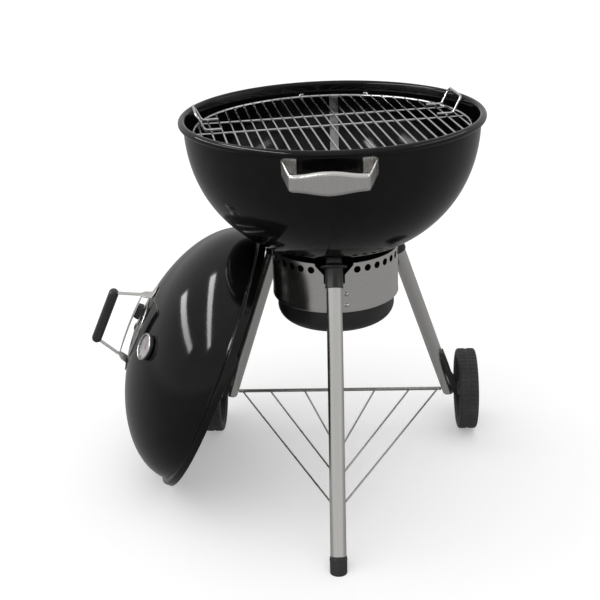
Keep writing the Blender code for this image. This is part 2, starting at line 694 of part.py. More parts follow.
def make_sweeper():
    """Three petals on the bowl's floor that also close its vents, with their shaft, lever and knob."""
    wall = [(r, z + SWEEPER_GAP) for r, z in offset_inwards(bowl_skin(), SHEET)]
    outer, inner = wall[-3], wall[-2]
    tip = (outer[0] + 0.012, outer[1] + 0.012 * (wall[-4][1] - outer[1]) / (wall[-4][0] - outer[0]))
    under = [tip, outer, inner, (0.012, inner[1] - (inner[1] - wall[-1][1]) * (inner[0] - 0.012) / inner[0])]
    over = [(r, z + 0.0016) for r, z in under]
    hub_low, hub_high = under[-1][1], under[-1][1] + 0.010
    profile = [(0.017, hub_high), (0.017, hub_low + 0.0004)]
    profile += [(SHAFT_R + GAP, hub_low + 0.0004), (SHAFT_R + GAP, hub_high)]
    hub = turned("sweeper_blades", profile, kettle, "zinc", steps=24)
    petals = []
    for k in range(3):
        petal = turned(f"petal_{k}", over + under[::-1], kettle, steps=4, angle=math.radians(42))
        petal.rotation_euler = (0, 0, math.radians(120 * k - 51))
        solid = as_mesh(petal)
        bm = bmesh.new()
        bm.from_mesh(solid.data)
        bmesh.ops.holes_fill(bm, edges=[e for e in bm.edges if e.is_boundary])
        bmesh.ops.recalc_face_normals(bm, faces=bm.faces)
        bm.to_mesh(solid.data)
        bm.free()
        petals.append(solid)
    combine(hub, petals, "UNION")
    profile = [(0, hub_high + 0.006), (0.007, hub_high + 0.005), (0.0085, hub_high + GAP)]
    profile += [(SHAFT_R, hub_high + GAP), (SHAFT_R, LEVER_Z - 0.005), (0, LEVER_Z - 0.005)]
    turned("sweeper_shaft", profile, kettle, "zinc", steps=16, closed=False)
    nut = [(0.0075, LEVER_Z + 0.0045), (0.0075, LEVER_Z + 0.0018)]
    nut += [(SHAFT_R + GAP, LEVER_Z + 0.0018), (SHAFT_R + GAP, LEVER_Z + 0.0045)]
    turned("sweeper_collar", nut, kettle, "zinc", steps=16)
    line = [(-0.012, LEVER_Z), (0.060, LEVER_Z), (0.100, RING_TOP_Z - 0.0025), (0.124, RING_TOP_Z + 0.0040)]
    line += [(0.150, RING_TOP_Z + 0.0040), (0.205, RING_TOP_Z - 0.0010)]
    rows = [[Vector((-0.009, y, z)), Vector((0.009, y, z))] for y, z in line]
    lever = strap("sweeper_lever", rows, 0.002, kettle, "zinc")
    shaft_ends = [(0, 0, LEVER_Z - 0.01), (0, 0, LEVER_Z + 0.01)]
    combine(lever, [cylinder("shaft_space", *shaft_ends, SHAFT_R + GAP, kettle)], "DIFFERENCE")
    knob_y, knob_z = 0.192, RING_TOP_Z + 0.0022
    ends = [(0, knob_y, knob_z + 0.0012), (0, knob_y, knob_z + 0.016)]
    cylinder("sweeper_knob", *ends, 0.011, kettle, "black_plastic", sides=20, end_radius=0.009)


# ---- Grates --------------------------------------------------------------------------------------


def ring_section(radius, z, wire_r):
    """The section of a round wire bent into a ring."""
    return arc((radius, z), wire_r, 60, -240, 5)


def rods_across(name, radius, pitch, wire_r, z, turn, sides=4):
    """Parallel rods along Y, turned about the axis, that end in the ring wire."""
    count = int((radius - 0.006) / pitch)
    spin = Matrix.Rotation(turn, 3, "Z")
    rods = []
    for k in range(-count, count + 1):
        x = k * pitch
        half = math.sqrt(radius**2 - x**2) - wire_r * 0.3
        ends = [spin @ Vector((x, y, z + wire_r * 0.21)) for y in (-half, half)]
        rods.append(cylinder(f"{name}_rod_{k}", *ends, wire_r, kettle, sides=sides))
    return rods


def make_cooking_grate():
    outline = ring_section(GRATE_R, GRATE_Z, GRATE_WIRE * 1.2)
    grate = turned("cooking_grate", outline, kettle, "chrome", steps=40)
    pieces = rods_across("cooking", GRATE_R, GRATE_PITCH, GRATE_WIRE * 0.85, GRATE_Z, GRATE_TURN)
    spin = Matrix.Rotation(GRATE_TURN, 3, "Z")
    for k, y in enumerate(GRATE_BAR_AT):
        half = math.sqrt(GRATE_R**2 - y**2) - 0.001
        ends = [spin @ Vector((x, y, GRATE_Z - GRATE_WIRE * 1.2)) for x in (-half, half)]
        pieces.append(cylinder(f"cooking_bar_{k}", *ends, GRATE_WIRE, kettle, sides=4))
    combine(grate, pieces, "UNION")
    for side, sign in (("left", -1), ("right", 1)):
        foot_x, wire_r = 0.238, 0.0025
        top_x = foot_x + GRATE_HANDLE_LEAN
        base_z = GRATE_Z + GRATE_WIRE * 1.2 + wire_r + GAP
        top_z = GRATE_Z + GRATE_HANDLE_RISE
        y0, y1 = GRATE_BAR_AT
        corners = [(0.206, y0, base_z), (foot_x, y0, base_z), (top_x, y0, top_z)]
        corners += [(top_x, y1, top_z), (foot_x, y1, base_z), (0.206, y1, base_z)]
        path = rounded([spin @ Vector((sign * x, y, z)) for x, y, z in corners], 0.006)
        wire(f"grate_handle_{side}", path, wire_r, kettle, "chrome", sides=8)


def make_charcoal_grate():
    grate = turned("charcoal_grate", ring_section(COAL_R, COAL_Z, COAL_WIRE * 1.1), kettle, "zinc", steps=32)
    pieces = rods_across("coal", COAL_R, COAL_PITCH, COAL_WIRE * 0.85, COAL_Z, math.radians(90) + GRATE_TURN)
    spin = Matrix.Rotation(math.radians(90) + GRATE_TURN, 3, "Z")
    for k, y in enumerate((-0.09, 0.09)):
        half = math.sqrt(COAL_R**2 - y**2) - 0.001
        ends = [spin @ Vector((x, y, COAL_Z - COAL_WIRE)) for x in (-half, half)]
        pieces.append(cylinder(f"coal_bar_{k}", *ends, COAL_WIRE * 0.9, kettle, sides=4))
    combine(grate, pieces, "UNION")


# ---- Lid -----------------------------------------------------------------------------------------

HANDLE_FOOT_Y, HANDLE_TOP_Y, HANDLE_RISE = 0.0765, 0.0535, 0.0670
ARM_SHEET, ARM_NARROW, ARM_WIDE = 0.0022, 0.0060, 0.0160  # half widths at the grip and at the lid
FLARE_LOW, FLARE_HIGH = 0.0070, 0.0170  # heights over the lid's top between which an arm widens
SHIELD_HALF, SHIELD_RISE = 0.0660, 0.0135
KNOB_Y = 0.033
GAUGE_X, GAUGE_Y = 0.1389, 0.0281
STEM_R = 0.0035


def lid_outside(steps):
    return [(r, SKIRT + d) for r, d in power_arc(LID_BODY_R, LID_HEIGHT - SKIRT, LID_SHAPE, steps)]


def lid_foot_places():
    for side, sign in (("upper", 1), ("lower", -1)):
        y = sign * (HANDLE_FOOT_Y + 0.013)
        lean = lid_lean(abs(y))
        out = Vector((0, sign * math.sin(lean), math.cos(lean)))
        yield side, sign, Vector((0, y, lid_height(abs(y)))), out


def gauge_frame():
    """(point on the lid, outward direction) of the thermometer."""
    radius = math.hypot(GAUGE_X, GAUGE_Y)
    lean = lid_lean(radius)
    flat = Vector((GAUGE_X, GAUGE_Y, 0)) / radius
    out = flat * math.sin(lean) + Vector((0, 0, math.cos(lean)))
    return flat * radius + Vector((0, 0, lid_height(radius))), out


def make_lid_shell():
    dome = lid_outside(9)[1:-1]
    skirt = [
        (LID_BODY_R + 0.0008, SKIRT + 0.0035),
        (LID_R - 0.0020, SKIRT + 0.0010),
        (LID_R, 0.0080),
        (LID_R, 0.0),
        (LID_R - 0.0022, 0.0),
        (LID_R - 0.0026, SKIRT - 0.0034),
        (LID_BODY_R - 0.0010, SKIRT - 0.0006),
    ]
    inner = offset_inwards([(r, -z) for r, z in dome], SHEET)
    inner = [(r, -z) for r, z in inner]
    profile = [(0, LID_HEIGHT)] + dome[::-1] + skirt + inner + [(0, LID_HEIGHT - SHEET)]
    shell = turned("lid_shell", profile, lid, "enamel", steps=44, closed=False)
    cutters = []
    for k in range(4):
        spot = around(DAMPER_HOLE_AT, math.tau * (k + 0.5) / 4, 0)
        ends = [spot + Vector((0, 0, z)) for z in (LID_HEIGHT - 0.02, LID_HEIGHT + 0.02)]
        cutters.append(cylinder(f"lid_vent_{k}", *ends, DAMPER_HOLE_R, lid, sides=10))
    ends = [(0, 0, LID_HEIGHT - 0.02), (0, 0, LID_HEIGHT + 0.02)]
    cutters.append(cylinder("lid_pivot", *ends, 0.004 + GAP, lid))
    for side, _, point, out in lid_foot_places():
        ends = (point - out * 0.01, point + out * 0.01)
        cutters.append(cylinder(f"lid_hole_{side}", *ends, SCREW_R + GAP, lid, sides=8))
    point, out = gauge_frame()
    ends = (point - out * 0.01, point + out * 0.01)
    cutters.append(cylinder("lid_gauge_hole", *ends, STEM_R + GAP, lid, sides=10))
    return combine(shell, cutters, "DIFFERENCE")


def make_damper():
    radii = [0.0048, 0.020, 0.042, DAMPER_R]
    under = [(r, lid_height(r) + DAMPER_GAP) for r in radii]
    over = [(r, z + DAMPER_SHEET) for r, z in under]
    disc = turned("lid_damper", over + under[::-1], lid, "stainless", steps=28)
    cutters = []
    for k in range(4):
        spot = around(DAMPER_HOLE_AT, math.tau * (k + 0.5) / 4, 0)
        ends = [spot + Vector((0, 0, z)) for z in (LID_HEIGHT - 0.02, LID_HEIGHT + 0.02)]
        cutters.append(cylinder(f"damper_vent_{k}", *ends, DAMPER_HOLE_R, lid, sides=10))
    combine(disc, cutters, "DIFFERENCE")
    top = LID_HEIGHT + DAMPER_GAP + DAMPER_SHEET + GAP
    rivet = [(0, top + 0.003), (0.005, top + 0.0025), (0.0085, top + 0.0005), (0.0085, top)]
    rivet += [(0.004, top), (0.004, LID_HEIGHT - 0.006), (0, LID_HEIGHT - 0.006)]
    turned("damper_rivet", rivet, lid, "chrome", steps=16, closed=False)
    lean = lid_lean(KNOB_Y)
    out = Vector((0, math.sin(lean), math.cos(lean)))
    middle = Vector((0, KNOB_Y, lid_height(KNOB_Y))) + out * (DAMPER_GAP + DAMPER_SHEET + 0.0010 + 0.0065)
    knob = aim(block("damper_knob", (0.022, 0.030, 0.013), (0, 0, 0), lid, "black_plastic"), middle, out)
    round_edges = knob.modifiers.new("edges", "BEVEL")
    round_edges.width = 0.0025
    round_edges.segments = 2


def arm_path(sign, extra=0.0):
    """Middle line of one lid handle arm: foot on the lid, rise, hook into the grip."""
    foot = HANDLE_FOOT_Y
    lift = ARM_SHEET / 2 + 0.0008
    corners = [
        (foot + 0.022, lid_height(foot + 0.022) + lift),
        (foot, lid_height(foot) + lift),
        (HANDLE_TOP_Y, LID_HEIGHT + HANDLE_RISE),
        (HANDLE_TOP_Y - 0.014 - extra, LID_HEIGHT + HANDLE_RISE),
    ]
    path = rounded([Vector((0, sign * y, z)) for y, z in corners], 0.005)
    bend = len(path) // 2
    low, high = path[bend - 1], path[bend]
    levels = [LID_HEIGHT + h for h in (FLARE_LOW, FLARE_HIGH)]
    between = [low.lerp(high, (z - low.z) / (high.z - low.z)) for z in levels]
    return path[:bend] + between + path[bend:]


def arm_rows(sign, wider=0.0, extra=0.0):
    """Rows of points across the arm, which is wide at the lid and narrow at the grip."""
    rows = []
    for p in arm_path(sign, extra):
        share = (p.z - LID_HEIGHT - FLARE_LOW) / (FLARE_HIGH - FLARE_LOW)
        half = ARM_WIDE + (ARM_NARROW - ARM_WIDE) * min(1, max(0, share)) + wider
        rows.append([p - Vector((half, 0, 0)), p + Vector((half, 0, 0))])
    return rows


def make_lid_handle():
    size = (0.028, 2 * (HANDLE_TOP_Y + 0.0060), 0.0200)
    grip = block("lid_handle_grip", size, (0, 0, LID_HEIGHT + HANDLE_RISE), lid, "black_plastic")
    round_edges = grip.modifiers.new("edges", "BEVEL")
    round_edges.width = 0.0060
    round_edges.segments = 3
    spaces = []
    for side, sign, point, out in lid_foot_places():
        arm = strap(f"lid_handle_arm_{side}", arm_rows(sign), ARM_SHEET, lid, "stainless")
        ends = (point - out * 0.002, point + out * 0.009)
        combine(arm, [cylinder(f"arm_hole_{side}", *ends, SCREW_R + GAP, lid, sides=8)], "DIFFERENCE")
        hook = arm_rows(sign, 0.0004, 0.0004)[6:]
        spaces.append(strap(f"arm_space_{side}", hook, ARM_SHEET + 0.0008, lid))
        make_screw(f"lid_screw_{side}", point, out, ARM_SHEET + 0.0026, 0.0048, lid)
    combine(grip, spaces, "DIFFERENCE")


def make_heat_shield():
    """A thin bowed plate between the handle's arms, narrower at its ends."""
    rows = []
    for step in range(-6, 7):
        t = step / 6
        half = 0.0060 + 0.0110 * math.cos(t * math.pi / 2)
        p = Vector((0, t * SHIELD_HALF, LID_HEIGHT + SHIELD_RISE + 0.003 * (1 - t * t)))
        rows.append([p - Vector((half, 0, 0)), p + Vector((half, 0, 0))])
    strap("handle_heat_shield", rows, 0.0012, lid, "stainless")


def turned_on_gauge(name, profile, look, steps=24, closed=False):
    point, out = gauge_frame()
    return aim(turned(name, profile, lid, look, steps=steps, closed=closed), point, out)


def make_thermometer():
    case_r, floor, rim = 0.0255, 0.0015, 0.0078
    case = [(0, floor + 0.0015), (case_r - 0.0015, floor + 0.0015), (case_r - 0.0015, rim), (case_r, rim)]
    case += [(case_r, floor + 0.0010), (case_r - 0.002, floor), (0.010, floor - 0.0005), (0, floor - 0.0005)]
    turned_on_gauge("thermometer_case", case, "chrome")
    low = floor + 0.0015 + GAP
    dial = [(0, low + 0.0007), (0.0235, low + 0.0007), (0.0235, low), (0, low)]
    turned_on_gauge("thermometer_dial", dial, "dial_paint")
    glass_low = rim - 0.0016
    glass = [(0, rim - 0.0004), (0.0236, rim - 0.0004), (0.0236, glass_low), (0, glass_low)]
    turned_on_gauge("thermometer_glass", glass, "clear_glass")
    over = rim + GAP
    bezel = [(case_r + 0.0003, over + 0.0014), (case_r + 0.0010, over + 0.0004), (case_r + 0.0010, over)]
    bezel += [(0.0225, over), (0.0225, over + 0.0008)]
    turned_on_gauge("thermometer_bezel", bezel, "chrome", closed=True)
    pin_low, pin_high = low + 0.0007 + GAP, glass_low - GAP
    pin = [(0, pin_high), (0.0022, pin_high), (0.0022, pin_low), (0, pin_low)]
    needle = turned_on_gauge("thermometer_needle", pin, "needle_paint", steps=10)
    hand = block("hand_bar", (0.0016, 0.022, 0.0006), (0, 0.0055, (pin_low + pin_high) / 2), lid)
    hand.parent = needle
    combine(needle, [hand], "UNION")
    top = floor - 0.0005 - GAP
    stem = [(0, top), (STEM_R, top), (STEM_R, -0.0032), (0.0080, -0.0032), (0.0080, -0.0070)]
    stem += [(STEM_R, -0.0070), (STEM_R, -0.0450), (0.0010, -0.0500), (0, -0.0500)]
    turned_on_gauge("thermometer_stem", stem, "zinc", steps=12)


# ---- Assembly ------------------------------------------------------------------------------------

make_bowl()
make_side_handle("front", 0.0)
make_side_handle("rear", math.pi)
make_handle_screws()
make_grate_brackets()
for leg_place in LEGS:
    make_leg(leg_place)
    make_socket(leg_place)
make_foot_cap()
for wheel_side, wheel_sign in (("left", -1), ("right", 1)):
    make_wheel(wheel_side, wheel_sign)
    make_axle_bracket(wheel_side, wheel_sign)
make_rack()
make_ring()
make_ring_fixings()
make_bucket()
make_sweeper()
make_cooking_grate()
make_charcoal_grate()
make_lid_shell()
make_damper()
make_lid_handle()
make_heat_shield()
make_thermometer()
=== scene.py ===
"""Looks of the kettle charcoal grill: enamelled bowl and lid, brushed steel, wire grates, moulded wheels."""

import json
import math

import bmesh
import bpy
from mathutils import Matrix, Vector


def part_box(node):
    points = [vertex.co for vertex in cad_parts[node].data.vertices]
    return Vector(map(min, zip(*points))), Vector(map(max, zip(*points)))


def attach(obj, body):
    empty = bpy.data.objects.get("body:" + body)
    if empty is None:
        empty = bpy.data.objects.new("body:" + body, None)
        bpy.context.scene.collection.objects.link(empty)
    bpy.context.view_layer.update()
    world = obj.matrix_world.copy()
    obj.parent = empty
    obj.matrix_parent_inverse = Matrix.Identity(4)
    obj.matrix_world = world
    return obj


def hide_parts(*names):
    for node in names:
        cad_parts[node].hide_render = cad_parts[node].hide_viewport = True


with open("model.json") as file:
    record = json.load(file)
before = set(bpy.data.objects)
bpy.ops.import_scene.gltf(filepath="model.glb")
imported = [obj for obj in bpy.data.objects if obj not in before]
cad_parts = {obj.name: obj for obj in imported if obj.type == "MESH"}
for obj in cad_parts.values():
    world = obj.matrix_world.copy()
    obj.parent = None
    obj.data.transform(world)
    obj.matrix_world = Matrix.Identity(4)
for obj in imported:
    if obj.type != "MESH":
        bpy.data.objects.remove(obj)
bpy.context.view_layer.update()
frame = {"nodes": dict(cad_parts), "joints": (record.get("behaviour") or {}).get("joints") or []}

TAU = math.tau

# ---- Places, read from the frame -----------------------------------------------------------------


def middle(node):
    low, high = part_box(node)
    return (low + high) / 2


KETTLE = Matrix.Translation((middle("ash_ring").x, middle("ash_ring").y, 0))
JOINTS = {j["name"]: j for j in frame["joints"]}
RIM_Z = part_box("bowl")[1].z

LID_AXIS = Vector(JOINTS["lid_lift"]["axis"]).normalized()
LID_HEIGHT = 0.173
lid_across = Vector((-LID_AXIS.y, LID_AXIS.x, 0)).normalized()
lid_turn = Matrix((lid_across, LID_AXIS.cross(lid_across), LID_AXIS)).transposed().to_4x4()
LID = Matrix.Translation(Vector(JOINTS["lid_damper_turn"]["pos_m"]) - LID_AXIS * LID_HEIGHT) @ lid_turn
GAUGE_AXIS = Vector(JOINTS["thermometer_needle_turn"]["axis"]).normalized()
GAUGE = (
    Matrix.Translation(Vector(JOINTS["thermometer_needle_turn"]["pos_m"]) - GAUGE_AXIS * 0.0050)
    @ GAUGE_AXIS.to_track_quat("Z", "Y").to_matrix().to_4x4()
)
KNOB_Y = 0.033

# ---- Dimensions that the CAD also has ------------------------------------------------------------

SHEET = 0.0016
RIM_R, BEAD_R = 0.2875, 0.007
BOWL_R, BOWL_DEPTH, BOWL_SHAPE = 0.278, 0.2627, 2.16
BOWL_TOP_Z = RIM_Z - 0.010
LID_R, LID_BODY_R, LID_SHAPE, SKIRT = 0.2822, 0.2712, 1.91, 0.014
TUBE_R = 0.0148
WHEEL_R, WHEEL_HALF = 0.089, 0.021
RING_TOP_Z, RING_LOW_Z = 0.505, 0.407
GRATE_Z, GRATE_R, GRATE_WIRE = RIM_Z - 0.027, 0.2600, 0.0022
COAL_Z, COAL_R, COAL_WIRE = 0.600, 0.212, 0.003
GRATE_TURN = math.radians(11)
LEGS = {
    "front": (Vector((0, -0.145, 0.466)), Vector((0, -0.372, 0))),
    "left": (Vector((-0.1262, 0.0792, 0.459)), Vector((-0.243, 0.183, 0.089))),
    "right": (Vector((0.1262, 0.0792, 0.459)), Vector((0.243, 0.183, 0.089))),
}
AXLE_Y, AXLE_Z, WHEEL_X = 0.183, 0.089, 0.2815

# ---- Materials -----------------------------------------------------------------------------------


class Nodes:
    """Shorthand for building one material's node tree."""

    def __init__(self, name, colour, roughness, metallic=0.0):
        self.material = bpy.data.materials.new(name)
        self.material.use_nodes = True
        self.tree = self.material.node_tree
        self.shader = self.tree.nodes["Principled BSDF"]
        self.set("Base Color", (*colour, 1))
        self.set("Roughness", roughness)
        self.set("Metallic", metallic)
        self.place = self.tree.nodes.new("ShaderNodeTexCoord").outputs["Object"]

    def set(self, socket, value):
        self.shader.inputs[socket].default_value = value

    def link(self, out, into):
        self.tree.links.new(out, into)
        return self

    def scaled(self, factors):
        node = self.tree.nodes.new("ShaderNodeMapping")
        node.inputs["Scale"].default_value = factors
        self.link(self.place, node.inputs["Vector"])
        return node.outputs["Vector"]

    def around_axis(self, turns, along):
        """Coordinates round the object's Z axis: angle times turns, height times along, radius."""
        split = self.tree.nodes.new("ShaderNodeSeparateXYZ")
        self.link(self.place, split.inputs[0])
        angle = self.math("ARCTAN2", split.outputs["Y"], split.outputs["X"])
        flat = self.math(
            "ADD", self.math("POWER", split.outputs["X"], 2.0), self.math("POWER", split.outputs["Y"], 2.0)
        )
        join = self.tree.nodes.new("ShaderNodeCombineXYZ")
        self.link(self.math("MULTIPLY", angle, turns), join.inputs["X"])
        self.link(self.math("MULTIPLY", split.outputs["Z"], along), join.inputs["Y"])
        self.link(self.math("MULTIPLY", self.math("SQRT", flat), along), join.inputs["Z"])
        return join.outputs[0]

    def math(self, operation, a, b=None):
        node = self.tree.nodes.new("ShaderNodeMath")
        node.operation = operation
        for socket, value in zip(node.inputs, (a, b)):
            if value is None:
                continue
            if isinstance(value, (int, float)):
                socket.default_value = value
            else:
                self.link(value, socket)
        return node.outputs[0]

    def noise(self, vector, scale, detail=3.0, rough=0.5):
        node = self.tree.nodes.new("ShaderNodeTexNoise")
        node.inputs["Scale"].default_value = scale
        node.inputs["Detail"].default_value = detail
        node.inputs["Roughness"].default_value = rough
        self.link(vector, node.inputs["Vector"])
        return node.outputs["Fac"]

    def ramp(self, value, stops):
        """Maps a value through (place, level or colour) stops."""
        node = self.tree.nodes.new("ShaderNodeValToRGB")
        points = node.color_ramp.elements
        while len(points) < len(stops):
            points.new(0.5)
        for point, (place, level) in zip(points, stops):
            point.position = place
            point.color = (*level, 1) if isinstance(level, tuple) else (level, level, level, 1)
        self.link(value, node.inputs["Fac"])
        return node.outputs["Color"]

    def bump(self, height, strength, distance):
        node = self.tree.nodes.new("ShaderNodeBump")
        node.inputs["Strength"].default_value = strength
        node.inputs["Distance"].default_value = distance
        previous = self.shader.inputs["Normal"]
        if previous.is_linked:
            self.link(previous.links[0].from_socket, node.inputs["Normal"])
        self.link(height, node.inputs["Height"])
        self.link(node.outputs["Normal"], previous)
        return self


def enamel():
    """Gloss black porcelain enamel: faint orange peel, slightly uneven gloss and tone, and a gentle waviness.
    """
    m = Nodes("look_enamel", (0.003, 0.003, 0.003), 0.09)
    m.set("Specular IOR Level", 0.28)
    peel = m.noise(m.place, 260, 2.0)
    m.link(m.ramp(m.noise(m.place, 9, 4.0), [(0.3, 0.07), (0.75, 0.13)]), m.shader.inputs["Roughness"])
    m.link(
        m.ramp(
            m.noise(m.place, 34, 5.0), [(0.35, (0.0022, 0.0022, 0.0021)), (0.8, (0.0048, 0.0047, 0.0044))]
        ),
        m.shader.inputs["Base Color"],
    )
    m.bump(peel, 0.06, 0.0004)
    m.bump(m.noise(m.place, 5, 1.0), 0.10, 0.004)
    return m.material


def brushed(name, colour, vector_of, rough=0.30, depth=0.16, tint=0.90):
    """Stainless steel with fine lines in one direction, and faint cloudy handling marks."""
    m = Nodes(name, colour, rough, 1.0)
    vector = vector_of(m)
    fine = m.noise(vector, 1.0, 6.0, 0.65)
    coarse = m.noise(m.place, 24, 3.0)
    dark = tuple(c * tint * 0.82 for c in colour)
    m.link(m.ramp(fine, [(0.30, dark), (0.68, colour)]), m.shader.inputs["Base Color"])
    mixed = m.math("ADD", m.math("MULTIPLY", fine, 0.7), m.math("MULTIPLY", coarse, 0.3))
    m.link(m.ramp(mixed, [(0.32, rough * 0.75), (0.70, rough * 1.35)]), m.shader.inputs["Roughness"])
    m.set("Anisotropic", 0.55)
    m.bump(fine, depth, 0.0004)
    return m.material


def plated(name, colour, rough):
    """Plated wire or fastener: small ripples in the plating and uneven brightness."""
    m = Nodes(name, colour, rough, 1.0)
    cloud = m.noise(m.place, 60, 4.0)
    m.link(m.ramp(cloud, [(0.30, rough * 0.7), (0.75, rough * 1.6)]), m.shader.inputs["Roughness"])
    m.link(
        m.ramp(m.noise(m.place, 150, 3.0), [(0.3, tuple(c * 0.78 for c in colour)), (0.7, colour)]),
        m.shader.inputs["Base Color"]
    )
    m.bump(m.noise(m.place, 420, 2.0), 0.12, 0.0003)
    return m.material


def moulded(name, colour, rough, grain=0.25, scale=900):
    """Moulded plastic, paint or rubber: a fine pebbled skin, with dust caught in it."""
    m = Nodes(name, colour, rough)
    m.link(
        m.ramp(m.noise(m.place, 40, 5.0), [(0.30, rough * 0.82), (0.75, min(1.0, rough * 1.25))]),
        m.shader.inputs["Roughness"]
    )
    pale = tuple(c * 1.7 + 0.004 for c in colour)
    m.link(
        m.ramp(m.noise(m.place, 22, 6.0, 0.7), [(0.42, colour), (0.85, pale)]),
        m.shader.inputs["Base Color"]
    )
    m.bump(m.noise(m.place, scale, 2.0), grain, 0.0004)
    return m.material


def glass():
    m = Nodes("look_glass", (0.95, 0.97, 0.97), 0.02)
    m.set("Transmission Weight", 1.0)
    m.set("IOR", 1.45)
    m.link(m.ramp(m.noise(m.place, 90, 4.0), [(0.4, 0.01), (0.9, 0.08)]), m.shader.inputs["Roughness"])
    return m.material


STEEL = (0.80, 0.785, 0.76)
LOOKS = {
    "enamel": enamel(),
    "stainless_long": brushed(
        "look_stainless_long", STEEL, lambda m: m.around_axis(160, 7), 0.20, 0.08, 1.0
    ),
    "stainless_round": brushed(
        "look_stainless_round", STEEL, lambda m: m.around_axis(3, 2600), 0.20, 0.05, 1.05
    ),
    "stainless_flat": brushed("look_stainless_flat", STEEL, lambda m: m.scaled((8, 900, 900))),
    "stainless_upright": brushed(
        "look_stainless_upright", STEEL, lambda m: m.scaled((2200, 2200, 40)), 0.24, 0.05, 0.97
    ),
    "stainless_disc": brushed(
        "look_stainless_disc", STEEL, lambda m: m.around_axis(3, 1500), 0.24, 0.10, 0.96
    ),
    "stainless_arm": brushed("look_stainless_arm", STEEL, lambda m: m.scaled((900, 8, 900)), 0.30),
    "wire": plated("look_rack_wire", (0.46, 0.45, 0.43), 0.30),
    "chrome": plated("look_chrome", (0.70, 0.70, 0.70), 0.14),
    "zinc": plated("look_zinc", (0.42, 0.42, 0.41), 0.38),
    "black_paint": moulded("look_black_paint", (0.010, 0.010, 0.010), 0.38, 0.12, 500),
    "black_plastic": moulded("look_black_plastic", (0.016, 0.016, 0.0165), 0.46),
    "rubber": moulded("look_rubber", (0.022, 0.022, 0.023), 0.62, 0.35, 700),
    "dial": moulded("look_dial", (0.30, 0.27, 0.275), 0.45, 0.08),
    "dial_ink": moulded("look_dial_ink", (0.03, 0.03, 0.03), 0.5, 0.05),
    "needle": moulded("look_needle", (0.40, 0.03, 0.025), 0.35, 0.05),
    "glass": glass(),
}

# ---- Mesh tools ----------------------------------------------------------------------------------


def piece(name, bm, look, body, nodes=(), place=KETTLE, sharp=35):
    """A finished piece: welded, shaded, with its look, its body and the CAD nodes it stands for."""
    bmesh.ops.remove_doubles(bm, verts=bm.verts, dist=0.000002)
    bmesh.ops.recalc_face_normals(bm, faces=bm.faces)
    mesh = bpy.data.meshes.new(name)
    bm.to_mesh(mesh)
    bm.free()
    mesh.shade_smooth()
    mesh.set_sharp_from_angle(angle=math.radians(sharp))
    made = bpy.data.objects.new(name, mesh)
    bpy.context.scene.collection.objects.link(made)
    made.matrix_world = place
    mesh.materials.append(LOOKS[look])
    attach(made, body)
    if nodes:
        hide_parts(*nodes)
    return made


def lathe(bm, profile, steps, matrix=Matrix(), closed=True):
    """Adds a surface of revolution about +Z. Points on the axis become one vertex."""
    rings = []
    for r, z in profile:
        if r < 1e-6:
            rings.append([bm.verts.new(matrix @ Vector((0, 0, z)))])
        else:
            spins = [TAU * k / steps for k in range(steps)]
            spots = [Vector((r * math.cos(a), r * math.sin(a), z)) for a in spins]
            rings.append([bm.verts.new(matrix @ spot) for spot in spots])
    pairs = list(zip(rings, rings[1:])) + ([(rings[-1], rings[0])] if closed else [])
    for upper, lower in pairs:
        for k in range(steps):
            n = (k + 1) % steps
            corners = [
                upper[k % len(upper)], upper[n % len(upper)], lower[n % len(lower)], lower[k % len(lower)]
            ]
            unique = list(dict.fromkeys(corners))
            if len(unique) > 2:
                bm.faces.new(unique)
    return bm


def tube(bm, points, radius, sides=12, cyclic=False, ends=True):
    """Adds a round tube along the points, with a frame carried smoothly along it."""
    points = [Vector(p) for p in points]
    count = len(points)
    tangents = []
    for i in range(count):
        before = points[i - 1] if cyclic or i else points[i]
        after = points[(i + 1) % count] if cyclic or i < count - 1 else points[i]
        tangents.append((after - before).normalized())
    normal = tangents[0].orthogonal().normalized()
    rings = []
    for i, (p, t) in enumerate(zip(points, tangents)):
        normal = (normal - t * normal.dot(t)).normalized()
        side = t.cross(normal)
        r = radius[i] if isinstance(radius, (list, tuple)) else radius
        angles = [TAU * k / sides for k in range(sides)]
        rings.append([bm.verts.new(p + (normal * math.cos(a) + side * math.sin(a)) * r) for a in angles])
    pairs = list(zip(rings, rings[1:]))
    if cyclic:
        shift = min(range(sides), key=lambda k: (rings[0][k].co - rings[-1][0].co).length)
        pairs.append((rings[-1], rings[0][shift:] + rings[0][:shift]))
    for a, b in pairs:
        for k in range(sides):
            n = (k + 1) % sides
            bm.faces.new((a[k], a[n], b[n], b[k]))
    if ends and not cyclic:
        bm.faces.new(rings[0][::-1])
        bm.faces.new(rings[-1])
    return bm


def rod(bm, start, end, radius, sides=12, tip=0.3):
    """A straight rod with slightly rounded ends."""
    start, end = Vector(start), Vector(end)
    along = (end - start).normalized() * radius * tip
    points = [start, start + along * 0.3, start + along, end - along, end - along * 0.3, end]
    return tube(
        bm, points, [radius * 0.72, radius * 0.92, radius, radius, radius * 0.92, radius * 0.72], sides
    )


def rounded(corners, radius, steps=8):
    """The corner points with each inner corner replaced by a tangent arc."""
    corners = [Vector(c) for c in corners]
    path = [corners[0]]
    for before, corner, after in zip(corners, corners[1:], corners[2:]):
        a, b = (before - corner).normalized(), (after - corner).normalized()
        half = a.angle(b) / 2
        reach = min(radius / math.tan(half), 0.45 * min((before - corner).length, (after - corner).length))
        centre = corner + (a + b).normalized() * (reach / math.cos(half))
        start, end = corner + a * reach - centre, corner + b * reach - centre
        path += [centre + start.slerp(end, i / steps) * start.length for i in range(steps + 1)]
    return path + [corners[-1]]


def resampled(path, spacing):
    """The path with extra points on its long straight runs."""
    out = [path[0]]
    for a, b in zip(path, path[1:]):
        pieces = max(1, round((b - a).length / spacing))
        out += [a.lerp(b, (i + 1) / pieces) for i in range(pieces)]
    return out


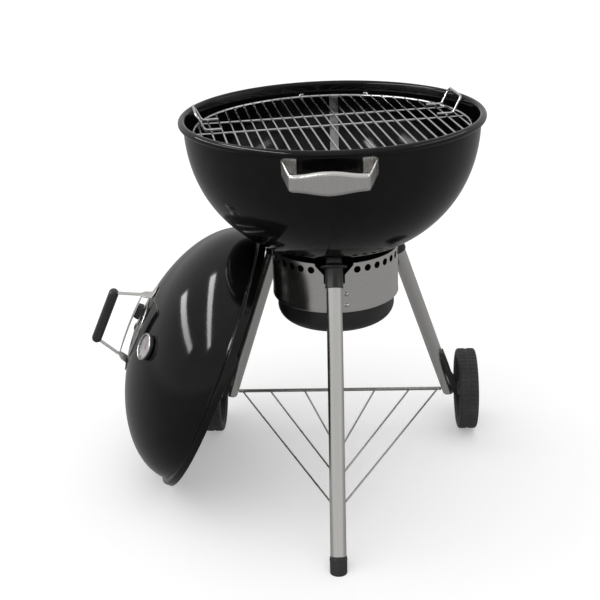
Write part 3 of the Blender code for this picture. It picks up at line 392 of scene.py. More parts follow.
def box(bm, size, centre, matrix=Matrix()):
    made = bmesh.ops.create_cube(
        bm, size=1, matrix=matrix @ Matrix.Translation(centre) @ Matrix.Diagonal((*size, 1))
    )
    return made["verts"]


def bevelled(obj, width, segments=3, angle=30):
    step = obj.modifiers.new("edges", "BEVEL")
    step.width = width
    step.segments = segments
    step.limit_method = "ANGLE"
    step.angle_limit = math.radians(angle)
    step.harden_normals = False
    return obj


def strap(name, rows, thickness, look, body, nodes=(), place=KETTLE, edge=0.0005):
    """A sheet strip through rows of points, with real thickness and rounded edges."""
    bm = bmesh.new()
    grid = [[bm.verts.new(p) for p in row] for row in rows]
    for near, far in zip(grid, grid[1:]):
        for i in range(len(near) - 1):
            bm.faces.new((near[i], near[i + 1], far[i + 1], far[i]))
    made = piece(name, bm, look, body, nodes, place)
    thick = made.modifiers.new("thickness", "SOLIDIFY")
    thick.thickness = thickness
    thick.offset = 0
    return bevelled(made, edge, 2, 50)


def aimed(point, direction, parent=Matrix()):
    """A frame at point with +Z along direction."""
    return parent @ Matrix.Translation(point) @ Vector(direction).to_track_quat("Z", "Y").to_matrix().to_4x4()


def around(radius, angle, z=0.0):
    """A point at this angle from -Y, positive towards +X."""
    return Vector((radius * math.sin(angle), -radius * math.cos(angle), z))


def power_arc(radius, height, shape, steps):
    angles = [math.pi / 2 * i / steps for i in range(steps + 1)]
    return [(radius * math.cos(a) ** (2 / shape), height * math.sin(a) ** (2 / shape)) for a in angles]


def offset_inwards(outline, distance):
    moved = []
    for i, (r, z) in enumerate(outline):
        r0, z0 = outline[max(i - 1, 0)]
        r1, z1 = outline[min(i + 1, len(outline) - 1)]
        along = Vector((r1 - r0, z1 - z0)).normalized()
        moved.append((max(0.0, r + along.y * distance), z - along.x * distance))
    return moved


def arc(centre, radius, start, end, steps):
    angles = [math.radians(start + (end - start) * i / steps) for i in range(steps + 1)]
    return [(centre[0] + radius * math.cos(a), centre[1] + radius * math.sin(a)) for a in angles]


def lid_height(radius):
    return SKIRT + (LID_HEIGHT - SKIRT) * (1 - (radius / LID_BODY_R) ** LID_SHAPE) ** (1 / LID_SHAPE)


def lid_lean(radius):
    step = 0.001
    return math.atan((lid_height(radius - step) - lid_height(radius + step)) / (2 * step))


def cut(target, cutters):
    """Cuts closed meshes out of target, and applies the result."""
    bm = bmesh.new()
    for cutter in cutters:
        bm.from_mesh(cutter)
        bpy.data.meshes.remove(cutter)
    mesh = bpy.data.meshes.new("cutters")
    bm.to_mesh(mesh)
    bm.free()
    tool = bpy.data.objects.new("cutters", mesh)
    bpy.context.scene.collection.objects.link(tool)
    tool.matrix_world = target.matrix_world
    step = target.modifiers.new("cut", "BOOLEAN")
    step.operation = "DIFFERENCE"
    step.object = tool
    step.solver = "EXACT"
    bpy.context.view_layer.update()
    finished = bpy.data.meshes.new_from_object(target.evaluated_get(bpy.context.evaluated_depsgraph_get()))
    target.modifiers.remove(step)
    target.data = finished
    finished.set_sharp_from_angle(angle=math.radians(35))
    bpy.data.objects.remove(tool)
    return target


def cylinder_mesh(start, end, radius, sides=32):
    bm = bmesh.new()
    matrix = aimed((Vector(start) + Vector(end)) / 2, Vector(end) - Vector(start))
    depth = (Vector(end) - Vector(start)).length
    bmesh.ops.create_cone(
        bm, cap_ends=True, segments=sides, radius1=radius, radius2=radius, depth=depth, matrix=matrix
    )
    mesh = bpy.data.meshes.new("cylinder")
    bm.to_mesh(mesh)
    bm.free()
    return mesh


def box_mesh(size, centre, turn=0.0):
    bm = bmesh.new()
    box(bm, size, (0, 0, 0), Matrix.Translation(centre) @ Matrix.Rotation(turn, 4, "Z"))
    mesh = bpy.data.meshes.new("box")
    bm.to_mesh(mesh)
    bm.free()
    return mesh


# ---- Bowl ----------------------------------------------------------------------------------------


def make_bowl():
    bead = arc((RIM_R - BEAD_R, RIM_Z - BEAD_R), BEAD_R, 168, -112, 26)
    outside = [(r, BOWL_TOP_Z - d) for r, d in power_arc(BOWL_R, BOWL_DEPTH, BOWL_SHAPE, 56)]
    outside = [(r, z) for r, z in outside if z < RIM_Z - 2 * BEAD_R and r > 0.006]
    inside = offset_inwards(outside, SHEET)
    bm = bmesh.new()
    lathe(bm, bead + outside + inside[::-1], 192)
    bowl = piece("bowl_shell", bm, "enamel", "stand", ["bowl"])
    angles = [math.radians(120 * i + 60) for i in range(3)]
    cutters = [box_mesh((0.012, 0.050, 0.06), around(0.062, a, 0.5), a) for a in angles]
    return cut(bowl, cutters)


def make_bowl_handle(end, turn):
    """A strap bent to two tabs, two wings and a wide face, its edges rolled back for the hand."""
    skin = BOWL_R + 0.0024
    corners = [
        (0.055, -math.sqrt(skin**2 - 0.055**2), 0),
        (0.0845, -math.sqrt(skin**2 - 0.0845**2), 0),
        (0.0640, -0.3215, 0),
        (0, -0.3290, 0),
    ]
    half = resampled(rounded(corners, 0.0085, 10), 0.004)
    path = half[:-1] + [Vector((-p.x, p.y, 0)) for p in half[::-1]]
    spin = Matrix.Rotation(turn, 3, "Z")
    rows = []
    for p in path:
        out = min(1.0, max(0.0, (-p.y - 0.277) / 0.040))
        out = out * out * (3 - 2 * out) * 0.5 + out * 0.5
        bulge = out * math.cos(min(abs(p.x) / 0.060, 1) * math.pi / 2) ** 2
        top = 0.750 - 0.016 * out + 0.0065 * bulge
        low = 0.724 - 0.018 * out - 0.0055 * bulge
        curl = 0.0052 * out
        lip = arc((0.0, 0.0), 1.0, 0, 90, 5)
        spread = [(low + 0.005 * (1 - c), curl * (1 - s)) for c, s in lip]
        spread += [(low + 0.006 + (top - low - 0.012) * i / 5, 0.0) for i in range(6)]
        spread += [(top - 0.005 * (1 - c), curl * (1 - s)) for c, s in lip[::-1]]
        rows.append([spin @ Vector((p.x, p.y + back, z)) for z, back in spread])
    strap(
        f"bowl_handle_strap_{end}", rows, 0.0021, "stainless_upright", "stand", [f"bowl_handle_{end}"],
        edge=0.0006
    )


def screw_profile(head):
    """A washer and a round head, from the outside in."""
    top = arc((0.0030, head - 0.0004), 0.0034, 90, 12, 6)
    return [(0, head + 0.0030)] + top + [
        (0.0052, head - 0.0004), (0.0072, head - 0.0006), (0.0076, head - 0.0012), (0.0076, head - 0.0018),
        (0, head - 0.0018)
    ]


def make_screw(name, point, out, head, nut, body, nodes, place):
    bm = bmesh.new()
    at = aimed(point, out)
    lathe(bm, screw_profile(head + 0.0012), 40, at, closed=False)
    lathe(
        bm,
        [
            (0, -nut), (0.0060, -nut), (0.0066, -nut - 0.0006), (0.0066, -nut - 0.0042),
            (0.0060, -nut - 0.0048), (0, -nut - 0.0048)
        ],
        6, at, False
    )
    made = piece(name, bm, "chrome", body, nodes, place)
    cross = [box_mesh((0.0058, 0.0010, 0.0016), (0, 0, head + 0.0044), math.radians(a)) for a in (25, 115)]
    for mesh in cross:
        mesh.transform(at)
    return cut(made, cross)


def make_handle_screws():
    for end, side_y in (("front", -1), ("rear", 1)):
        for side, side_x in (("left", -1), ("right", 1)):
            out = Vector((side_x * 0.0685, side_y * math.sqrt(BOWL_R**2 - 0.0685**2), 0))
            name = f"{end}_{side}"
            make_screw(
                f"bowl_screw_{name}", out + Vector((0, 0, 0.737)), out, 0.0034, 0.0062, "stand",
                [f"handle_screw_{name}"], KETTLE
            )


# ---- Stand ---------------------------------------------------------------------------------------


def leg_frame(place):
    top, low = LEGS[place]
    return aimed(low, top - low, KETTLE)


def make_legs():
    for place, (top, low) in LEGS.items():
        base = 0.010 if place == "front" else -0.006
        length = (top - low).length + 0.022
        bore = TUBE_R - 0.0012
        profile = [
            (TUBE_R - 0.0003, length), (TUBE_R, length - 0.0004), (TUBE_R, base + 0.0004),
            (TUBE_R - 0.0003, base)
        ]
        profile += [(bore, base), (bore, length)]
        bm = bmesh.new()
        lathe(bm, profile, 72)
        piece(f"leg_tube_{place}", bm, "stainless_long", "stand", [f"leg_{place}"], leg_frame(place))
        sleeve = [
            (0.0110, 0.071), (0.0130, 0.066), (0.0138, 0.060), (0.0138, 0.052), (0.0144, 0.0475),
            (0.0160, 0.0445)
        ]
        sleeve += [
            (0.0205, 0.0425), (0.0245, 0.0415), (0.0250, 0.0405), (0.0250, 0.0388), (0.0242, 0.0378),
            (0.0182, 0.0370), (0.0170, 0.0355)
        ]
        sleeve += [
            (0.0168, 0.0340), (0.0168, 0.0030), (0.0171, 0.0022), (0.0171, 0.0006), (0.0166, 0.0),
            (0.0151, 0.0), (0.0151, 0.060), (0.0110, 0.060)
        ]
        bm = bmesh.new()
        lathe(bm, sleeve, 72)
        piece(
            f"leg_sleeve_{place}", bm, "black_paint", "stand", [f"leg_socket_{place}"],
            aimed(top, top - low, KETTLE)
        )


def make_foot():
    top, low = LEGS["front"]
    outer = TUBE_R + 0.0012
    profile = [
        (0, 0.0095), (TUBE_R + 0.0003, 0.0095), (TUBE_R + 0.0003, 0.0280), (outer - 0.0006, 0.0280),
        (outer, 0.0272)
    ]
    profile += [
        (outer, 0.0235), (outer + 0.0006, 0.0228), (outer + 0.0006, 0.0205), (outer, 0.0198),
        (outer, -0.004), (outer - 0.0015, -0.0075), (outer - 0.006, -0.0085), (0, -0.0085)
    ]
    bm = bmesh.new()
    lathe(bm, profile, 72, aimed(low, top - low), closed=False)
    geometry = bm.verts[:] + bm.edges[:] + bm.faces[:]
    sliced = bmesh.ops.bisect_plane(
        bm, geom=geometry, plane_co=(0, 0, 0.0), plane_no=(0, 0, -1), clear_outer=True
    )
    rim = [e for e in sliced["geom_cut"] if isinstance(e, bmesh.types.BMEdge)]
    bmesh.ops.holes_fill(bm, edges=rim)
    piece("foot_boot", bm, "black_plastic", "stand", ["foot_cap"])


def wheel_frame(sign):
    turn = Matrix.Rotation(sign * math.pi / 2, 4, "Y")
    return KETTLE @ Matrix.Translation((sign * WHEEL_X, AXLE_Y, AXLE_Z)) @ turn


TREAD_LUGS = 56


def make_tyre(side, sign):
    """A solid tyre: rounded shoulders, a smooth centre band, and a row of cross ribs on each side of it."""
    half, groove = WHEEL_HALF, 0.0013
    outline = [
        (WHEEL_R - 0.0140, half - 0.0020), (WHEEL_R - 0.0125, half - 0.0004), (WHEEL_R - 0.0100, half)
    ]
    outline += [(WHEEL_R - 0.0065, half - 0.0003)]
    outline += arc((WHEEL_R - 0.0055, half - 0.0062), 0.0055, 78, 12, 6)
    ribbed = [
        (WHEEL_R - 0.0001, half - 0.0078), (WHEEL_R, half - 0.0092), (WHEEL_R, 0.0034),
        (WHEEL_R - 0.0005, 0.0028)
    ]
    centre = [(WHEEL_R - 0.0010, 0.0024), (WHEEL_R - 0.0010, -0.0024)]
    mirror = [(r, -z) for r, z in (outline + ribbed)[::-1]]
    profile = outline + ribbed + centre + mirror
    rib_rows = {
        i for i, (r, z) in enumerate(profile) if 0.0030 < abs(z) < half - 0.0030 and r > WHEEL_R - 0.0040
    }
    steps = TREAD_LUGS * 6
    bm = bmesh.new()
    rings = []
    for i, (r, z) in enumerate(profile):
        ring = []
        for k in range(steps):
            phase = (k % 6) / 6
            low = i in rib_rows and phase >= 0.5
            depth = groove if low else 0.0
            a = TAU * (k + (0.10 if phase in (0.0,) else 0)) / steps
            ring.append(bm.verts.new(((r - depth) * math.cos(a), (r - depth) * math.sin(a), z)))
        rings.append(ring)
    for upper, lower in list(zip(rings, rings[1:])) + [(rings[-1], rings[0])]:
        for k in range(steps):
            n = (k + 1) % steps
            bm.faces.new((upper[k], upper[n], lower[n], lower[k]))
    piece(
        f"tyre_tread_{side}", bm, "rubber", f"wheel_{side}", [f"tyre_{side}"], wheel_frame(sign), sharp=32
    )


def make_hub(side, sign):
    """A dished hub: rim flange, web with spokes standing on it, and a boss around the bolt."""
    seat, half = WHEEL_R - 0.0143, WHEEL_HALF
    profile = [
        (seat, half - 0.0035), (seat, -half + 0.0035), (seat - 0.0006, -half + 0.0030),
        (seat - 0.0030, -half + 0.0030)
    ]
    profile += [
        (seat - 0.0038, -half + 0.0038), (seat - 0.0052, -0.0050), (seat - 0.0075, -0.0030),
        (0.0190, -0.0025), (0.0155, -0.0050)
    ]
    profile += [
        (0.0145, -half + 0.0050), (0.0138, -half + 0.0040), (0.0047, -half + 0.0040),
        (0.0047, half - 0.0100), (0.0138, half - 0.0100)
    ]
    profile += [
        (0.0145, half - 0.0110), (0.0155, 0.0050), (0.0190, 0.0025), (seat - 0.0075, 0.0030),
        (seat - 0.0052, 0.0050)
    ]
    profile += [
        (seat - 0.0038, half - 0.0038), (seat - 0.0030, half - 0.0030), (seat - 0.0006, half - 0.0030)
    ]
    bm = bmesh.new()
    lathe(bm, profile, 144)
    hub = piece(
        f"wheel_web_{side}", bm, "black_plastic", f"wheel_{side}", [f"wheel_hub_{side}"], wheel_frame(sign)
    )
    windows = []
    for k in range(6):
        a = TAU * k / 6
        spot = Vector((math.cos(a + math.pi / 2), math.sin(a + math.pi / 2), 0)) * 0.043
        windows.append(cylinder_mesh(spot - Vector((0, 0, 0.01)), spot + Vector((0, 0, 0.01)), 0.0125, 40))
    cut(hub, windows)
    bm = bmesh.new()
    for k in range(6):
        turn = Matrix.Rotation(TAU * (k + 0.5) / 6 + math.pi / 2, 4, "Z")
        for face in (-1, 1):
            box(bm, (0.050, 0.0030, 0.0060), (0.0430, 0, face * 0.0045), turn)
    spokes = piece(f"wheel_ribs_{side}", bm, "black_plastic", f"wheel_{side}", (), wheel_frame(sign))
    bevelled(spokes, 0.0008, 2)


def make_axle(side, sign):
    half = WHEEL_HALF
    head = half - 0.0095
    bolt = [
        (0, head + 0.0058), (0.0040, head + 0.0056), (0.0064, head + 0.0046), (0.0070, head + 0.0034),
        (0.0070, head + 0.0013)
    ]
    bolt += [
        (0.0040, head + 0.0013), (0.0040, -WHEEL_X + 0.2295), (0.0034, -WHEEL_X + 0.2289),
        (0, -WHEEL_X + 0.2289)
    ]
    bm = bmesh.new()
    lathe(bm, bolt, 48, closed=False)
    piece(f"wheel_bolt_{side}", bm, "zinc", "stand", [f"axle_bolt_{side}"], wheel_frame(sign))
    bm = bmesh.new()
    lathe(
        bm,
        [
            (0.0088, head + 0.0011), (0.0091, head + 0.0008), (0.0091, head + 0.0003), (0.0088, head),
            (0.0043, head), (0.0043, head + 0.0011)
        ],
        48
    )
    piece(f"wheel_washer_{side}", bm, "zinc", "stand", [f"axle_washer_{side}"], wheel_frame(sign))


def make_bracket(side, sign):
    """The black moulded wedge between leg and wheel, hollowed round the tube."""
    top, low = LEGS[side]
    up = (top - low).normalized()
    face = WHEEL_X - WHEEL_HALF + 0.0002
    lean = up.x * sign
    outline = [(0.247, -0.0130), (face, -0.0130), (face, 0.0220)]
    for s in (0.045, 0.068, 0.092, 0.115):
        outline.append((0.243 + lean * s + 0.0182 + 0.0008 * math.sin(math.pi * (s - 0.022) / 0.093), s))
    outline += [(0.243 + lean * 0.115 + 0.008, 0.115)]
    bm = bmesh.new()
    rings = []
    for depth in (-0.0125, 0.0125):
        spots = [(sign * x, low.y + up.y * s + depth, low.z + up.z * s) for x, s in outline]
        rings.append([bm.verts.new(spot) for spot in spots])
    bm.faces.new(rings[0])
    bm.faces.new(rings[1][::-1])
    for i in range(len(outline)):
        j = (i + 1) % len(outline)
        bm.faces.new((rings[0][i], rings[0][j], rings[1][j], rings[1][i]))
    bracket = piece(f"leg_end_{side}", bm, "black_plastic", "stand", [f"axle_bracket_{side}"])
    cut(bracket, [cylinder_mesh(low - up * 0.03, low + up * 0.16, TUBE_R + 0.0003, 96)])
    bevelled(bracket, 0.0022, 3, 40)


def make_rack():
    """Cross rod, middle rod and three V wires, each wire weld-flattened where it meets the rod."""
    reach = 0.243 - TUBE_R - 0.0012
    front_low = LEGS["front"][1]
    front_top = LEGS["front"][0]
    front = front_low.lerp(front_top, AXLE_Z / front_top.z).y
    bm = bmesh.new()
    rod(bm, (-reach, AXLE_Y, AXLE_Z), (reach, AXLE_Y, AXLE_Z), 0.0038, 20)
    rod(bm, (0, AXLE_Y, AXLE_Z), (0, front + 0.006, AXLE_Z), 0.0030, 16)
    for share, end in zip((0.965, 0.690, 0.350), (front + 0.0185, front + 0.130, front + 0.235)):
        for side in (-1, 1):
            rod(bm, (side * reach * share, AXLE_Y, AXLE_Z), (0, end, AXLE_Z), 0.0019, 12)
            weld = Vector((side * reach * share, AXLE_Y - 0.0035, AXLE_Z))
            bmesh.ops.create_icosphere(
                bm, subdivisions=2, radius=0.0026,
                matrix=Matrix.Translation(weld) @ Matrix.Diagonal((1.3, 1.2, 0.8, 1))
            )
    piece("rack_wires", bm, "wire", "stand", ["bottom_rack"])


# ---- Ash ring, bucket and sweeper ----------------------------------------------------------------

REAR_ANGLE = math.atan2(LEGS["right"][0].x, LEGS["right"][0].y)
LEG_ANGLES = {"front": 0.0, "right": math.pi - REAR_ANGLE, "left": math.pi + REAR_ANGLE}


def ring_hole_angles():
    stops = sorted(LEG_ANGLES.values()) + [TAU]
    for start, end in zip(stops, stops[1:]):
        first, last = start + math.radians(20.5), end - math.radians(20.5)
        count = round((last - first) / math.radians(10)) + 1
        yield from (first + (last - first) * k / (count - 1) for k in range(count))


def make_ring():
    outer, inner = 0.1236, 0.1224
    levels = [RING_TOP_Z - (RING_TOP_Z - RING_LOW_Z) * i / 10 for i in range(11)]
    hem = arc((outer - 0.0012, RING_LOW_Z + 0.0012), 0.0018, 0, -150, 8)
    profile = [(outer, z) for z in levels[:-1]] + hem + [(inner, z) for z in levels[::-1][1:]]
    bm = bmesh.new()
    lathe(bm, profile, 240)
    ring = piece("ash_band", bm, "stainless_round", "stand", ["ash_ring"])
    cutters = []
    for angle in ring_hole_angles():
        z = RING_TOP_Z - 0.0135
        ends = (around(outer - 0.01, angle, z), around(outer + 0.01, angle, z))
        cutters.append(cylinder_mesh(*ends, 0.0068, 36))
    for angle in LEG_ANGLES.values():
        outline = [(-0.020, -0.039), (0.020, -0.039), (0.020, -0.022), (0.036, -0.004), (0.036, 0.02)]
        outline += [(-0.036, 0.02), (-0.036, -0.004), (-0.020, -0.022)]
        bm = bmesh.new()
        place = Matrix.Translation(around(outer, angle, RING_TOP_Z)) @ Matrix.Rotation(angle, 4, "Z")
        sides = [[bm.verts.new(place @ Vector((x, y, z))) for x, z in outline] for y in (-0.02, 0.02)]
        bm.faces.new(sides[0])
        bm.faces.new(sides[1][::-1])
        for i in range(len(outline)):
            j = (i + 1) % len(outline)
            bm.faces.new((sides[0][i], sides[0][j], sides[1][j], sides[1][i]))
        bmesh.ops.recalc_face_normals(bm, faces=bm.faces)
        mesh = bpy.data.meshes.new("notch")
        bm.to_mesh(mesh)
        bm.free()
        cutters.append(mesh)
    cut(ring, cutters)


def make_ring_fixings():
    for name, z in (("upper", 0.444), ("lower", 0.421)):
        angle = math.radians(10.5)
        dome = [
            (0, 0.0024), (0.0016, 0.0022), (0.0030, 0.0016), (0.0040, 0.0007), (0.0042, 0.0002),
            (0.0022, 0.0002), (0.0022, -0.0030), (0, -0.0030)
        ]
        bm = bmesh.new()
        lathe(bm, dome, 36, aimed(around(0.1236, angle, z), around(1, angle)), closed=False)
        piece(f"band_rivet_{name}", bm, "chrome", "stand", [f"ring_rivet_{name}"])
    for side in ("left", "right"):
        top, low = LEGS[side]
        spot = low.lerp(top, (0.450 - low.z) / (top.z - low.z))
        out = Vector((spot.x, spot.y, 0)).normalized()
        bm = bmesh.new()
        rod(
            bm, out * 0.1240 + Vector((0, 0, 0.450)),
            out * (Vector((spot.x, spot.y)).length - TUBE_R) + Vector((0, 0, 0.450)), 0.0023, 16
        )
        piece(f"band_stay_{side}", bm, "zinc", "stand", [f"ring_stay_{side}"])


def make_bucket():
    radius, top, low, corner, wall = 0.1155, 0.468, 0.355, 0.028, 0.0012
    outside = [(radius, top - 0.004 - (top - 0.004 - low - corner) * i / 6) for i in range(6)]
    outside += arc((radius - corner, low + corner), corner, 0, -90, 14)
    inside = arc((radius - corner, low + corner), corner - wall, -90, 0, 14)
    lip = arc((radius + 0.0003, top - 0.0018), 0.0018, 180, -60, 9)
    base = [(0.060, low), (0.056, low + 0.0014), (0, low + 0.0014)]
    profile = [
        (0, low + wall + 0.0014), (0.056, low + wall + 0.0014), (0.060, low + wall)
    ] + inside + lip + outside + base
    bm = bmesh.new()
    lathe(bm, profile, 180, closed=False)
    piece("ash_bucket_shell", bm, "black_paint", "ash_bucket", ["ash_bucket"])


# ---- Grates --------------------------------------------------------------------------------------


def circle(radius, z, count=120):
    return [around(radius, TAU * k / count, z) for k in range(count)]


def make_cooking_grate():
    spin = Matrix.Rotation(GRATE_TURN, 3, "Z")
    bm = bmesh.new()
    tube(bm, circle(GRATE_R, GRATE_Z), GRATE_WIRE * 1.2, 14, cyclic=True)
    for k in range(-12, 13):
        x = k * 0.0205
        reach = math.sqrt(GRATE_R**2 - x**2)
        rod(
            bm, spin @ Vector((x, -reach, GRATE_Z + 0.0004)), spin @ Vector((x, reach, GRATE_Z + 0.0004)),
            GRATE_WIRE * 0.85, 12
        )
    for y in (0.010, 0.092):
        reach = math.sqrt(GRATE_R**2 - y**2)
        z = GRATE_Z - GRATE_WIRE * 1.2
        rod(bm, spin @ Vector((-reach, y, z)), spin @ Vector((reach, y, z)), GRATE_WIRE, 12)
    piece("cooking_grate_wires", bm, "chrome", "cooking_grate", ["cooking_grate"])
    base, top = GRATE_Z + GRATE_WIRE * 1.2 + 0.0027, GRATE_Z + 0.036
    for side, sign in (("left", -1), ("right", 1)):
        corners = [
            (0.206, 0.010, base), (0.238, 0.010, base), (0.253, 0.010, top), (0.253, 0.092, top),
            (0.238, 0.092, base), (0.206, 0.092, base)
        ]
        path = rounded([spin @ Vector((sign * x, y, z)) for x, y, z in corners], 0.009, 8)
        bm = bmesh.new()
        tube(bm, path, 0.0025, 14)
        piece(f"grate_loop_{side}", bm, "chrome", "cooking_grate", [f"grate_handle_{side}"])


def make_charcoal_grate():
    spin = Matrix.Rotation(math.radians(90) + GRATE_TURN, 3, "Z")
    bm = bmesh.new()
    tube(bm, circle(COAL_R, COAL_Z, 96), COAL_WIRE * 1.1, 12, cyclic=True)
    for k in range(-7, 8):
        x = k * 0.026
        reach = math.sqrt(COAL_R**2 - x**2)
        rod(
            bm, spin @ Vector((x, -reach, COAL_Z + 0.0005)), spin @ Vector((x, reach, COAL_Z + 0.0005)),
            COAL_WIRE * 0.85, 10
        )
    for y in (-0.09, 0.09):
        reach = math.sqrt(COAL_R**2 - y**2)
        rod(
            bm, spin @ Vector((-reach, y, COAL_Z - COAL_WIRE)),
            spin @ Vector((reach, y, COAL_Z - COAL_WIRE)), COAL_WIRE * 0.9, 10
        )
    piece("charcoal_grate_wires", bm, "zinc", "charcoal_grate", ["charcoal_grate"])


# ---- Lid -----------------------------------------------------------------------------------------


def make_lid_shell():
    dome = [(r, SKIRT + d) for r, d in power_arc(LID_BODY_R, LID_HEIGHT - SKIRT, LID_SHAPE, 56)][1:]
    skirt = [
        (LID_BODY_R + 0.0004, SKIRT + 0.0050), (LID_BODY_R + 0.0016, SKIRT + 0.0028),
        (LID_BODY_R + 0.0040, SKIRT + 0.0018)
    ]
    skirt += [
        (LID_R - 0.0030, SKIRT + 0.0014), (LID_R - 0.0012, SKIRT + 0.0006),
        (LID_R - 0.0003, SKIRT - 0.0012), (LID_R, SKIRT - 0.0030)
    ]
    skirt += [(LID_R, 0.0020)] + arc((LID_R - 0.0016, 0.0016), 0.0016, 0, -180, 8)
    skirt += [
        (LID_R - 0.0032, SKIRT - 0.0044), (LID_R - 0.0040, SKIRT - 0.0020),
        (LID_BODY_R - 0.0006, SKIRT - 0.0006)
    ]
    inner = offset_inwards([(r, -z) for r, z in dome], SHEET)
    profile = dome[::-1] + skirt + [(r, -z) for r, z in inner]
    bm = bmesh.new()
    lathe(bm, profile, 192, closed=False)
    shell = piece("lid_dome", bm, "enamel", "lid", ["lid_shell"], LID)
    cutters = []
    for k in range(4):
        spot = around(0.034, TAU * (k + 0.5) / 4)
        cutters.append(cylinder_mesh(spot + Vector((0, 0, 0.15)), spot + Vector((0, 0, 0.2)), 0.011, 48))
    cut(shell, cutters)


def make_damper():
    radii = [0.0, 0.004, 0.010, 0.016, 0.020, 0.028, 0.036, 0.044, 0.052, 0.058, 0.0615]
    lift = {0.010: 0.0004, 0.016: 0.0002}
    under = [(r, lid_height(r) + 0.0006) for r in radii]
    over = [(r, lid_height(r) + 0.0018 + lift.get(r, 0)) for r in radii]
    edge = [
        (0.0627, lid_height(0.063) + 0.0017), (0.0630, lid_height(0.063) + 0.0012),
        (0.0627, lid_height(0.063) + 0.0006)
    ]
    bm = bmesh.new()
    lathe(bm, over + edge + under[::-1], 144, closed=False)
    disc = piece("damper_disc", bm, "stainless_disc", "lid_damper", ["lid_damper"], LID)
    cutters = []
    for k in range(4):
        spot = around(0.034, TAU * (k + 0.5) / 4)
        cutters.append(cylinder_mesh(spot + Vector((0, 0, 0.15)), spot + Vector((0, 0, 0.2)), 0.011, 48))
    cut(disc, cutters)
    low = LID_HEIGHT + 0.0021
    rivet = [
        (0, low + 0.0030), (0.0030, low + 0.0028), (0.0060, low + 0.0020), (0.0080, low + 0.0008),
        (0.0085, low), (0, low)
    ]
    bm = bmesh.new()
    lathe(bm, rivet, 48, closed=False)
    piece("damper_rivet_head", bm, "chrome", "lid", ["damper_rivet"], LID)
    lean = lid_lean(KNOB_Y)
    out = Vector((0, math.sin(lean), math.cos(lean)))
    place = LID @ aimed(Vector((0, KNOB_Y, lid_height(KNOB_Y))) + out * 0.0028, out)
    bm = bmesh.new()
    box(bm, (0.022, 0.030, 0.013), (0, 0, 0.0065))
    for v in bm.verts:
        if v.co.z > 0.01:
            v.co.x *= 0.86
            v.co.y *= 0.90
    bevelled(piece("damper_grip", bm, "black_plastic", "lid_damper", ["damper_knob"], place), 0.0030, 4)
    bm = bmesh.new()
    for k in range(-3, 4):
        box(bm, (0.0204, 0.0011, 0.0104), (0, k * 0.0036, 0.0060))
    bevelled(piece("damper_grip_ribs", bm, "black_plastic", "lid_damper", (), place), 0.0004, 2)


HANDLE_FOOT_Y, HANDLE_TOP_Y, HANDLE_RISE = 0.0765, 0.0535, 0.0670
ARM_SHEET, ARM_NARROW, ARM_WIDE = 0.0022, 0.0060, 0.0160
FLARE_LOW, FLARE_HIGH = 0.0070, 0.0170


def arm_half(p):
    share = min(1, max(0, (p.z - LID_HEIGHT - FLARE_LOW) / (FLARE_HIGH - FLARE_LOW)))
    share = share * share * (3 - 2 * share)
    foot = max(0.0, (abs(p.y) - HANDLE_FOOT_Y) / 0.022)
    return (ARM_WIDE + (ARM_NARROW - ARM_WIDE) * share) * math.sqrt(max(0.12, 1 - 0.88 * foot**3))


def make_lid_handle():
    rise = LID_HEIGHT + HANDLE_RISE
    lift = ARM_SHEET / 2 + 0.0008
    foot = HANDLE_FOOT_Y
    for side, sign in (("upper", 1), ("lower", -1)):
        corners = [(foot + 0.022, lid_height(foot + 0.022) + lift), (foot, lid_height(foot) + lift)]
        corners += [(HANDLE_TOP_Y, rise), (HANDLE_TOP_Y - 0.014, rise)]
        path = resampled(rounded([Vector((0, sign * y, z)) for y, z in corners], 0.005, 10), 0.0016)
        shares = (-1, -0.8, -0.4, 0, 0.4, 0.8, 1)
        rows = [[p + Vector((arm_half(p) * t, 0, 0)) for t in shares] for p in path]
        strap(
            f"lid_arm_{side}", rows, ARM_SHEET, "stainless_arm", "lid", [f"lid_handle_arm_{side}"], LID,
            0.0006
        )
        y = foot + 0.013
        lean = lid_lean(y)
        out = Vector((0, sign * math.sin(lean), math.cos(lean)))
        spot = Vector((0, sign * y, lid_height(y)))
        make_screw(f"lid_arm_screw_{side}", spot, out, 0.0030, 0.0040, "lid", [f"lid_screw_{side}"], LID)
    make_grip(rise)
    rows = []
    for i in range(-16, 17):
        t = i / 16
        half = 0.0060 + 0.0110 * math.cos(t * math.pi / 2)
        z = LID_HEIGHT + 0.0135 + 0.003 * (1 - t * t)
        curl = [(x, -0.0016 * abs(x) ** 5) for x in (-1, -0.93, -0.8, -0.4, 0, 0.4, 0.8, 0.93, 1)]
        rows.append([Vector((half * x, t * 0.066, z + drop)) for x, drop in curl])
    strap("lid_heat_plate", rows, 0.0012, "stainless_flat", "lid", ["handle_heat_shield"], LID, 0.0003)


